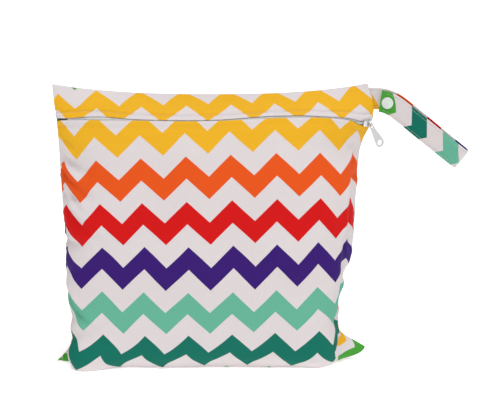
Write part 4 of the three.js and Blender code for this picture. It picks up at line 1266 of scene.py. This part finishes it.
def tab_frame(cloth):
    """x along the tab as it hangs, y its hinge line, with its origin on that line."""
    z = cloth.zip
    lift = z.slider_lift + z.slider_plate + z.bridge_wire / 2 + z.tab_thickness / 2 + cloth.s.fit_gap
    flat = (
        slider_frame(cloth)
        @ Matrix.Translation((z.bridge_offset, 0, lift))
        @ Matrix.Rotation(-z.hinge_turn, 4, "Z")
    )
    hang = math.atan2(-flat[2][2], -flat[2][0])
    return flat @ Matrix.Rotation(-hang, 4, "Y")


def cut_plate(name, outline, holes, thickness, edge, material, to=None):
    """A plate cut to an outline with holes, its edges rounded, centred on its own plane."""
    curve = bpy.data.curves.new(name, "CURVE")
    curve.dimensions, curve.fill_mode = "2D", "BOTH"
    curve.extrude, curve.bevel_depth, curve.offset = thickness / 2 - edge, edge, -edge
    curve.bevel_resolution = 2
    for points in (outline, *holes):
        spline = curve.splines.new("POLY")
        spline.points.add(len(points) - 1)
        for point, (x, y) in zip(spline.points, points):
            point.co = (x, y, 0, 1)
        spline.use_cyclic_u = True
    holder = bpy.data.objects.new(name + "_curve", curve)
    bpy.context.scene.collection.objects.link(holder)
    mesh = bpy.data.meshes.new_from_object(holder.evaluated_get(bpy.context.evaluated_depsgraph_get()))
    bpy.data.objects.remove(holder)
    made = bmesh.new()
    made.from_mesh(mesh)
    bmesh.ops.remove_doubles(made, verts=made.verts, dist=1e-6)
    bmesh.ops.recalc_face_normals(made, faces=made.faces)
    made.to_mesh(mesh)
    made.free()
    mesh.name = name
    if to is not None:
        mesh.transform(to)
    mesh.materials.clear()
    mesh.materials.append(material)
    piece = bpy.data.objects.new(name, mesh)
    bpy.context.scene.collection.objects.link(piece)
    mesh.shade_smooth()
    mesh.set_sharp_from_angle(angle=math.radians(45))
    return piece


def arc(x, y, radius, first, last, count=24):
    angles = np.radians(np.linspace(first, last, count))
    return [(x + radius * math.cos(t), y + radius * math.sin(t)) for t in angles]


def join(name, pieces):
    """One piece from several."""
    bpy.ops.object.select_all(action="DESELECT")
    for piece in pieces:
        piece.select_set(True)
    bpy.context.view_layer.objects.active = pieces[0]
    bpy.ops.object.join()
    pieces[0].name = pieces[0].data.name = name
    return pieces[0]


def build_slider(cloth, material):
    """The slider: a shield-shaped top plate, its foot, neck and bridge."""
    s, z = cloth.s, cloth.zip
    _, _, tape_bottom = depths(cloth)
    place = slider_frame(cloth)
    half, wide = z.slider_length / 2, z.slider_width / 2
    front, back, narrow, edge = 1.9 * MM, 1.6 * MM, 2.2 * MM, 0.35 * MM
    upper = arc(half - front, wide - front, front, 0, 90, 8) + [(0.0, wide - edge)]
    upper += arc(-half + back, wide - narrow, back, 90, 180, 8)
    shield = upper + [(x, -y) for x, y in upper[::-1]]
    middle = z.slider_lift + z.slider_plate / 2
    lifted = place @ Matrix.Translation((0, 0, middle))
    top = cut_plate("slider_top", shield, [], z.slider_plate, edge, material, lifted)
    foot_top = -tape_bottom - z.slider_lift
    foot = cut_plate(
        "slider_foot",
        [(x * 0.68, y * 0.7) for x, y in shield],
        [],
        z.foot_plate,
        0.25 * MM,
        material,
        place @ Matrix.Translation((0, 0, foot_top - z.foot_plate / 2)),
    )
    neck_from = half - NECK_LENGTH - NECK_SETBACK
    neck_wide = s.zip_opening / 2 - s.fit_gap
    neck_height = z.slider_lift - foot_top + z.slider_plate
    nose = [
        (neck_from, -0.3 * MM),
        (neck_from + NECK_LENGTH, -neck_wide),
        (neck_from + NECK_LENGTH, neck_wide),
        (neck_from, 0.3 * MM),
    ]
    neck = cut_plate(
        "slider_neck",
        nose,
        [],
        neck_height,
        0.1 * MM,
        material,
        place @ Matrix.Translation((0, 0, z.slider_lift + z.slider_plate / 2 - neck_height / 2)),
    )
    reach = TAB_BAR / 2 + BAR_ROOM
    height = z.tab_thickness + 2 * s.fit_gap + z.bridge_wire / 2
    turn = place @ Matrix.Translation((z.bridge_offset, 0, z.slider_lift + z.slider_plate))
    turn = turn @ Matrix.Rotation(-z.hinge_turn, 4, "Z")
    angles = np.radians(np.linspace(180, 0, 19))
    wire = z.bridge_wire / 2
    spine = [(-reach - wire, -0.4 * MM), (-reach - wire, 0.2 * MM)]
    spine += [
        (
            (reach + wire) * math.copysign(abs(math.cos(t)) ** 0.6, math.cos(t)),
            0.2 * MM + (height + wire - 0.2 * MM) * math.sin(t) ** 0.75,
        )
        for t in angles[1:-1]
    ]
    spine += [(reach + wire, 0.2 * MM), (reach + wire, -0.4 * MM)]
    weaver = Weaver()
    path = np.array([turn @ Vector((x, 0, up)) for x, up in spine])
    side = np.array(turn.to_3x3() @ Vector((0, 1, 0)))
    ahead = unit(np.gradient(path, axis=0))
    other = unit(np.cross(ahead, side))
    ring = np.radians(np.linspace(0, 360, 16, endpoint=False))
    square = [np.sign(turned) * np.abs(turned) ** 0.5 for turned in (np.cos(ring), np.sin(ring))]
    rings = (
        path[:, None]
        + side * (square[0] * z.bridge_breadth / 2)[None, :, None]
        + other[:, None] * (square[1] * wire)[None, :, None]
    )
    ids = weaver.add(rings)
    weaver.quads(ids, wrap=True)
    weaver.fan(ids[0])
    weaver.fan(ids[-1], flip=True)
    bridge = weaver.object("slider_bridge", material)
    return join("zip_slider_casting", [top, foot, neck, bridge])


def build_tab(cloth, material):
    """The pull tab: an eye round the bridge, a tapering stem and a round end with a rimmed hole."""
    s, z = cloth.s, cloth.zip
    head, end = z.tab_head_width / 2, z.tab_end_width / 2
    centre = z.tab_length - end
    reach = TAB_BAR / 2 + BAR_ROOM
    eye_end = reach + z.bridge_wire + BAR_ROOM
    neck = eye_end + 1 * MM
    eye_half = z.bridge_breadth / 2 + s.fit_gap
    round_end = arc(centre, 0, end, -104, 104, 40)
    outline = [(-TAB_BAR / 2, -head), (neck, -head), *round_end, (neck, head), (-TAB_BAR / 2, head)]
    eye = [(TAB_BAR / 2, -eye_half), (TAB_BAR / 2, eye_half), (eye_end, eye_half), (eye_end, -eye_half)]
    hole = arc(centre, 0, z.tab_hole / 2, 360, 0, 33)[:-1]
    place = tab_frame(cloth)
    plate = cut_plate("pull_plate", outline, [eye, hole], z.tab_thickness * 0.86, 0.28 * MM, material, place)
    weaver = Weaver()
    turns = np.linspace(0, 2 * math.pi, 49)
    between = 0.5 * (z.tab_hole / 2 + end)
    ring = [place @ Vector((centre + between * math.cos(t), between * math.sin(t), 0)) for t in turns]
    normal = np.array(place.to_3x3() @ Vector((0, 0, 1)))
    centre_point = np.array(place @ Vector((centre, 0, 0)))
    rings = []
    section = np.radians(np.linspace(0, 360, 14, endpoint=False))
    for point in np.array(ring)[:-1]:
        out = unit(point - centre_point)
        rings.append(
            point
            + np.cos(section)[:, None] * out * (end - z.tab_hole / 2) / 2 * 0.98
            + np.sin(section)[:, None] * normal * z.tab_thickness / 2
        )
    ids = weaver.add(rings)
    ids = np.concatenate([ids, ids[:1]], 0)
    weaver.quads(ids, wrap=True)
    rim = weaver.object("pull_rim", material)
    return join("pull_tab_casting", [plate, rim])


class Strap:
    """The strap's course: down the back layer, round the fold and back to the free end."""

    def __init__(self, cloth):
        self.cloth, self.s = cloth, cloth.strap
        s, gap = self.s, cloth.s.fit_gap
        self.stack = s.socket_height + s.stud_flange_height + 3 * gap + s.strap_thickness
        self.snap_along = s.strap_free_end + s.snap_from_end
        self.inner = (self.stack - s.strap_thickness) / 2
        self.outer = (self.stack + s.strap_thickness) / 2
        self.make_line()

    def make_line(self):
        s, step = self.s, 1 * MM
        point = self.cloth.seam(1, np.array(s.strap_seat))
        point = point + np.array((-s.strap_tuck, s.strap_thickness / 2 + self.cloth.s.fit_gap, 0))
        self.points, self.ahead, self.wide, self.front = [], [], [], []
        for k in range(math.ceil((s.strap_reach + s.strap_tuck + s.strap_spread) / step) + 1):
            share = (k * step - s.strap_tuck) / s.strap_reach
            droop, yaw = (math.radians(read(STRAP_ROUTE, "along", name, share)) for name in ("droop", "yaw"))
            level = np.array((math.cos(yaw), -math.sin(yaw), 0))
            ahead = level * math.cos(droop) + np.array((0, 0, -math.sin(droop)))
            wide = level * math.sin(droop) + np.array((0, 0, math.cos(droop)))
            self.points.append(point)
            self.ahead.append(ahead)
            self.wide.append(wide)
            self.front.append(-np.cross(wide, ahead))
            point = point + ahead * step
        for name in ("points", "ahead", "wide", "front"):
            setattr(self, name, np.array(getattr(self, name)))

    def at(self, along):
        """Point and directions at lengths from the seam."""
        index = np.clip((np.asarray(along, float) + self.s.strap_tuck) / MM, 0, len(self.points) - 1.001)
        k = np.floor(index).astype(int)
        t = (index - k)[..., None]
        both = (a[k] * (1 - t) + a[k + 1] * t for a in (self.points, self.ahead, self.wide, self.front))
        point, ahead, wide, front = both
        return point, unit(ahead), unit(wide), unit(front)

    def course(self):
        """How far along and how far in front of the back layer, at close stations."""
        s = self.s
        radius = s.strap_spread / 2
        turn = s.strap_reach - radius
        back = [(along, 0.0) for along in spaced(-s.strap_tuck, turn, 1.2 * MM)]
        bend = np.linspace(0, math.pi, 25)[1:-1]
        fold = [(turn + radius * math.sin(t), radius * (1 - math.cos(t))) for t in bend]
        front = []
        for along in spaced(s.strap_free_end, turn, 1.2 * MM)[::-1]:
            share = (along - self.snap_along - s.snap_cap / 2) / (turn - self.snap_along - s.snap_cap / 2)
            front.append((along, self.stack + (s.strap_spread - self.stack) * smooth(share * 1.6)))
        return np.array(back + fold + front)

    def slip(self, off, along):
        s = self.s
        return -s.strap_slip * np.clip(off / self.stack, 0, 1) * smooth(1 - along / s.strap_reach)

    def middles(self):
        """Middle line of the band with its width and outward directions, and lengths from the free end."""
        course = self.course()
        along, off = course.T
        point, ahead, wide, front = self.at(along)
        middle = point + front * off[:, None] + wide * self.slip(off, along)[:, None]
        slope = np.gradient(course, axis=0)
        slope = slope / np.linalg.norm(slope, axis=1, keepdims=True)
        out = front * slope[:, :1] - ahead * slope[:, 1:]
        steps = np.linalg.norm(np.diff(middle, axis=0), axis=1)
        length = np.concatenate([[0], np.cumsum(steps)])
        return middle, wide, out, length[-1] - length

    def snap_frame(self):
        """z out of the strap's front, origin between the layers on the snap's own line."""
        point, ahead, wide, front = (a[0] for a in self.at(np.array([self.snap_along])))
        slip = self.slip(np.array(self.stack), np.array(self.snap_along))
        return basis(ahead, wide, front, point + front * self.stack / 2 + wide * slip)


def build_strap(strap, material):
    """The band: two turned edges and a groove along each row of topstitching."""
    s = strap.s
    middle, wide, out, length = strap.middles()
    half, thick = s.strap_width / 2, s.strap_thickness / 2
    x = half * np.sin(np.linspace(-1, 1, 33) * math.pi / 2)
    crown = thick * (1 - np.abs(x / half) ** 10) ** 0.5
    groove = STRAP_GROOVE * np.exp(-(((np.abs(x) - (half - STRAP_STITCH)) / (0.7 * MM)) ** 2))
    profile = crown - groove * (crown > 0.3 * thick)
    upper = np.stack([x, profile], -1)
    section = np.concatenate([upper, upper[::-1][1:-1] * (1, -1)])
    rings = (
        middle[:, None]
        + wide[:, None] * section[None, :, :1]
        + out[:, None] * section[None, :, 1:]
    )
    weaver = Weaver()
    ids = weaver.add(rings)
    inner = np.broadcast_to(section[:, 1] > 0, rings.shape[:2])
    u = section[:, 0] - np.where(inner, INNER_SHIFT, 0)
    step = INNER_STEP * smooth((length - INNER_STEP_AT) / 0.01)
    inside = INNER_STRETCH * length + INNER_LEAD - step
    v = np.where(inner, inside[:, None], length[:, None])
    uv = np.stack([u, v], -1)
    closed = np.concatenate([ids, ids[:, :1]], 1)
    closed_uv = np.concatenate([uv, uv[:, :1]], 1)
    weaver.quads(closed, closed_uv, flip=True)
    weaver.fan(ids[0], flip=True)
    weaver.fan(ids[-1])
    weaver.uvs[-2:] = [uv[0][::-1], uv[-1]]
    return weaver.object("hang_strap_band", material)


def lathe(name, profile, place, material, sides=48):
    """A turned piece from (radius, height) pairs along z."""
    weaver = Weaver()
    angles = np.linspace(0, 2 * math.pi, sides, endpoint=False)
    rings = []
    for radius, height in profile:
        radius = max(radius, 1e-6)
        rings.append([place @ Vector((radius * math.cos(t), radius * math.sin(t), height)) for t in angles])
    ids = weaver.add(np.array(rings))
    weaver.quads(ids, wrap=True)
    weaver.fan(ids[0])
    weaver.fan(ids[-1], flip=True)
    return weaver.object(name, material)


def rounded(profile, radius, steps=4):
    """A profile with each inner corner rounded."""
    points = [np.array(p, float) for p in profile]
    made = [points[0]]
    for before, corner, after in zip(points, points[1:], points[2:]):
        a, b = before - corner, after - corner
        la, lb = np.linalg.norm(a), np.linalg.norm(b)
        r = min(radius, 0.45 * la, 0.45 * lb)
        start, end = corner + a / la * r, corner + b / lb * r
        for t in np.linspace(0, 1, steps + 1):
            made.append(start * (1 - t) ** 2 + 2 * corner * t * (1 - t) + end * t**2)
    made.append(points[-1])
    return made


def build_snaps(strap, material):
    """The two halves of the snap, each with its domed cap outside and its working side between the layers."""
    s, gap = strap.s, strap.cloth.s.fit_gap
    place = strap.snap_frame()
    cap = strap.outer + gap
    socket = strap.inner - gap - s.socket_height
    bore = s.snap_stud / 2 + gap
    high = s.snap_cap_height

    def cap_profile(foot, sign):
        r = s.snap_cap / 2
        shape = [(s.snap_post / 2, 0), (0.93 * r, 0), (0.93 * r, 0.35), (0.84 * r, 0.7), (0.7 * r, 0.82)]
        shape += [(0.56 * r, 0.72), (0.42 * r, 0.76), (0.3 * r, 0.95), (0, 1)]
        return [(x, foot + sign * high * y) for x, y in shape]

    socket_side = [
        (0, socket + 1.2 * MM),
        (bore, socket + 1.2 * MM),
        (bore, socket),
        (s.snap_flange / 2, socket),
        (s.snap_flange / 2, strap.inner - gap),
        (s.snap_post / 2, strap.inner - gap),
        *cap_profile(cap, 1),
    ]
    flange = -strap.inner + gap
    top = flange + s.stud_flange_height
    stud_side = [
        *cap_profile(-cap, -1)[::-1],
        (s.snap_post / 2, flange),
        (s.snap_flange / 2, flange),
        (s.snap_flange / 2, top),
        (s.snap_stud / 2, top),
        (s.snap_stud / 2, top + 1.1 * MM),
        (0, top + 1.1 * MM),
    ]
    return (
        lathe("snap_socket_cap", rounded(socket_side, 0.3 * MM), place, material),
        lathe("snap_stud_cap", rounded(stud_side, 0.3 * MM), place, material),
    )


def sew(weaver, line, outward, pitch, radius):
    """Lockstitches along a line: each dips into the cloth at both ends."""
    steps = np.linalg.norm(np.diff(line, axis=0), axis=1)
    length = np.concatenate([[0], np.cumsum(steps)])
    for k in range(int(length[-1] / pitch)):
        t = np.linspace(STITCH_GAP, 1 - STITCH_GAP, 7)
        at = (k + t) * pitch
        path = np.stack([np.interp(at, length, line[:, i]) for i in range(3)], -1)
        normal = unit(np.stack([np.interp(at, length, outward[:, i]) for i in range(3)], -1))
        arch = np.abs(np.sin(np.pi * (t - STITCH_GAP) / (1 - 2 * STITCH_GAP))) ** 0.5
        lift = radius * (1.5 * arch - 0.9)
        weaver.tube(path + normal * lift[:, None], radius, 6)


def build_stitching(cloth, strap, sizes, material):
    """Topstitching beside the zip and along the strap."""
    weaver = Weaver()
    s = cloth.s
    shares = spaced(0.012, 0.988, 0.004)
    for edge, sign in zip(cloth.zip_edges(shares), (-1, 1)):
        run = (edge + sign * STITCH_LINE / s.cloth_height)[None]
        line = cloth.points(run, shares, 0, welt(cloth, run, shares, edge, sign)[0])[0]
        sew(weaver, line, cloth.outward(run, shares)[0], sizes.stitch, sizes.thread / 2)
    zip_stitches = weaver.object("zip_topstitching", material)
    weaver = Weaver()
    middle, wide, out, length = strap.middles()
    half, thick = strap.s.strap_width / 2, strap.s.strap_thickness / 2
    for side in (-1, 1):
        for face in (-1, 1):
            x = side * (half - STRAP_STITCH)
            line = middle + wide * x + out * face * (thick * 0.97 - STRAP_GROOVE)
            keep = length > 1.5 * MM
            sew(weaver, line[keep], out[keep] * face, sizes.stitch, sizes.thread / 2)
    return zip_stitches, weaver.object("strap_topstitching", material)


# Operators


def builders(context):
    """The cloth and the strap from the scene's sizes."""
    scene = context.scene
    cloth = Cloth(scene.wet_bag_cloth, scene.wet_bag_zip, scene.wet_bag_strap)
    return cloth, Strap(cloth)


class WETBAG_OT_cloth(Operator):
    """Builds the body panel and the top strip"""

    bl_idname = "wetbag.cloth"
    bl_label = "Cloth"

    def execute(self, context):
        scene = context.scene
        cloth, _ = builders(context)
        colours, sizes, s = scene.wet_bag_colours, scene.wet_bag_print, scene.wet_bag_cloth
        inside = lining()
        print_body = printed_cloth(
            "printed_knit_body", colours, sizes, sizes.body_start, sizes.pitch, sizes.zigzag_height
        )
        print_strip = printed_cloth(
            "printed_knit_strip", colours, sizes, sizes.strip_start, sizes.pitch, sizes.zigzag_height
        )
        body = build_body(cloth, sizes, (print_body, inside))
        soften(body, 0.4 * s.wall)
        seat(body, "printed_cloth", "body_panel")
        shares = spaced(0, 1, s.column / s.bag_width)
        strip_edge, _ = cloth.zip_edges(shares)
        runs = spaced(0, 1, s.column / 2 / s.top_strip_width)[:, None] * strip_edge
        relief, thin = welt(cloth, runs, shares, strip_edge, -1)
        strip = build_sheet(
            cloth, "printed_top_strip", runs, shares, 0, s.wall - thin, relief, (print_strip, inside)
        )
        soften(strip, 0.4 * s.wall)
        seat(strip, "printed_cloth", "top_strip")
        return {"FINISHED"}


class WETBAG_OT_zip(Operator):
    """Builds the zip's tapes and its closed coil"""

    bl_idname = "wetbag.zip"
    bl_label = "Zip"

    def execute(self, context):
        cloth, _ = builders(context)
        s, z = cloth.s, cloth.zip
        _, top, bottom = depths(cloth)
        tape = woven_tape()
        inset = z.zip_end_inset / s.bag_width
        shares = spaced(inset, 1 - inset, s.column / s.bag_width)
        split, span = s.fit_gap / 2 / s.cloth_height, z.tape_width / s.cloth_height
        middle = sum(cloth.zip_edges(shares)) / 2
        for name, sign in (("upper", -1), ("lower", 1)):
            edges = sorted((sign * split, sign * span))
            runs = spaced(*edges, s.column / 2 / s.cloth_height)[:, None] + middle
            piece = build_sheet(cloth, f"woven_tape_{name}", runs, shares, top, bottom, 0, (tape,))
            soften(piece, 0.2 * MM)
            seat(piece, "zip_tape", f"zipper_tape_{name}")
        coil = build_coil(cloth, nylon("drawn_nylon", (0.84, 0.83, 0.82), 0.32))
        seat(coil, "zip_coil", "zipper_coil")
        return {"FINISHED"}


class WETBAG_OT_slider(Operator):
    """Builds the slider and the pull tab that swings on its bridge"""

    bl_idname = "wetbag.slider"
    bl_label = "Slider and tab"

    def execute(self, context):
        cloth, _ = builders(context)
        slider = build_slider(cloth, plated_metal("plated_slider", (0.66, 0.67, 0.68), 0.75, 0.26))
        seat(slider, "slider_metal", "zipper_slider")
        tab = build_tab(cloth, plated_metal("enamelled_tab", (0.6, 0.61, 0.61), 0.1, 0.36))
        seat(tab, "slider_metal", "pull_tab", body="pull")
        return {"FINISHED"}


class WETBAG_OT_strap(Operator):
    """Builds the hang strap and its snap"""

    bl_idname = "wetbag.strap"
    bl_label = "Strap and snap"

    def execute(self, context):
        scene = context.scene
        _, strap = builders(context)
        colours, sizes = scene.wet_bag_colours, scene.wet_bag_print
        material = strap_cloth(colours, sizes, strap.s)
        seat(build_strap(strap, material), "strap_cloth", "hang_strap")
        # The snap's pale green tint is painted reflection of the green cloth round it; the resin itself is
        # white.
        front, back = build_snaps(strap, nylon("moulded_snap", (0.66, 0.72, 0.66), 0.28))
        seat(front, "snap_plastic", "snap_socket_side")
        seat(back, "snap_plastic", "snap_stud_side")
        return {"FINISHED"}


def strap_cloth(colours, sizes, strap):
    """The same print along the strap, which is cut across the bands."""
    return printed_cloth(
        "printed_knit_strap",
        colours,
        sizes,
        sizes.strap_start,
        -sizes.strap_pitch,
        sizes.strap_height,
        sizes.strap_tip - sizes.zigzag / 2,
    )


class WETBAG_OT_stitching(Operator):
    """Sews the topstitching beside the zip and along the strap"""

    bl_idname = "wetbag.stitching"
    bl_label = "Stitching"

    def execute(self, context):
        cloth, strap = builders(context)
        along_zip, along_strap = build_stitching(cloth, strap, context.scene.wet_bag_print, thread())
        seat(along_zip, "printed_cloth")
        seat(along_strap, "strap_cloth")
        return {"FINISHED"}


class WETBAG_OT_stage(Operator):
    """Makes the floor, the light and the camera"""

    bl_idname = "wetbag.stage"
    bl_label = "Stage"

    def execute(self, context):
        scene, settings = context.scene, context.scene.wet_bag_stage
        corners = [(x * FLOOR_HALF, y * FLOOR_HALF, 0) for x, y in ((-1, -1), (1, -1), (1, 1), (-1, 1))]
        floor = make_object("studio_floor", corners, [(0, 1, 2, 3)], materials=[studio_floor()])
        world = bpy.data.worlds.new("studio")
        world.use_nodes = True
        tree = world.node_tree
        background = tree.nodes["Background"]
        background.inputs["Color"].default_value = (1, 1, 1, 1)
        background.inputs["Strength"].default_value = settings.sky
        scene.world = world
        for name, strength, towards, angle in (
            ("key", settings.key, (0.3, -0.55, 1.5), 50),
            ("fill", settings.fill, (-0.8, -0.7, 0.5), 60),
        ):
            light = bpy.data.lights.new(name, "SUN")
            light.energy, light.angle = strength, math.radians(angle)
            lamp = bpy.data.objects.new(name, light)
            scene.collection.objects.link(lamp)
            lamp.rotation_euler = (-Vector(towards)).to_track_quat("-Z", "Y").to_euler()
        camera = bpy.data.cameras.new("camera")
        camera.lens, camera.sensor_width = settings.lens, 36
        holder = bpy.data.objects.new("camera", camera)
        scene.collection.objects.link(holder)
        target = Vector(CAMERA_TARGET)
        ahead = Vector((0, math.cos(settings.elevation), -math.sin(settings.elevation)))
        holder.location = target - ahead * settings.distance
        holder.rotation_euler = ahead.to_track_quat("-Z", "Y").to_euler()
        scene.camera = holder
        scene.view_settings.view_transform = "Standard"
        return {"FINISHED"}


class WETBAG_PT_panel(Panel):
    """Lists the bag's sizes, colours and pieces"""

    bl_idname = "WETBAG_PT_panel"
    bl_label = "Wet bag"
    bl_space_type = "VIEW_3D"
    bl_region_type = "UI"
    bl_category = "Wet bag"

    def draw(self, context):
        for operator in OPERATORS:
            self.layout.operator(operator.bl_idname)
        for name, group in GROUPS.items():
            box = self.layout.box()
            box.label(text=group.__doc__)
            for key in group.__annotations__:
                box.prop(getattr(context.scene, name), key)


OPERATORS = (
    WETBAG_OT_cloth,
    WETBAG_OT_zip,
    WETBAG_OT_slider,
    WETBAG_OT_strap,
    WETBAG_OT_stitching,
    WETBAG_OT_stage,
)
GROUPS = {
    "wet_bag_cloth": ClothSizes,
    "wet_bag_zip": ZipSizes,
    "wet_bag_strap": StrapSizes,
    "wet_bag_print": PrintSizes,
    "wet_bag_colours": PrintColours,
    "wet_bag_stage": StageSettings,
}


def register():
    for made in (*GROUPS.values(), *OPERATORS, WETBAG_PT_panel):
        bpy.utils.register_class(made)
    for name, group in GROUPS.items():
        setattr(bpy.types.Scene, name, PointerProperty(type=group))


def unregister():
    for name in GROUPS:
        delattr(bpy.types.Scene, name)
    for made in reversed((*GROUPS.values(), *OPERATORS, WETBAG_PT_panel)):
        bpy.utils.unregister_class(made)


def main():
    register()
    bpy.ops.wetbag.cloth()
    bpy.ops.wetbag.zip()
    bpy.ops.wetbag.slider()
    bpy.ops.wetbag.strap()
    bpy.ops.wetbag.stitching()
    bpy.ops.wetbag.stage()


if __name__ == "__main__":
    main()
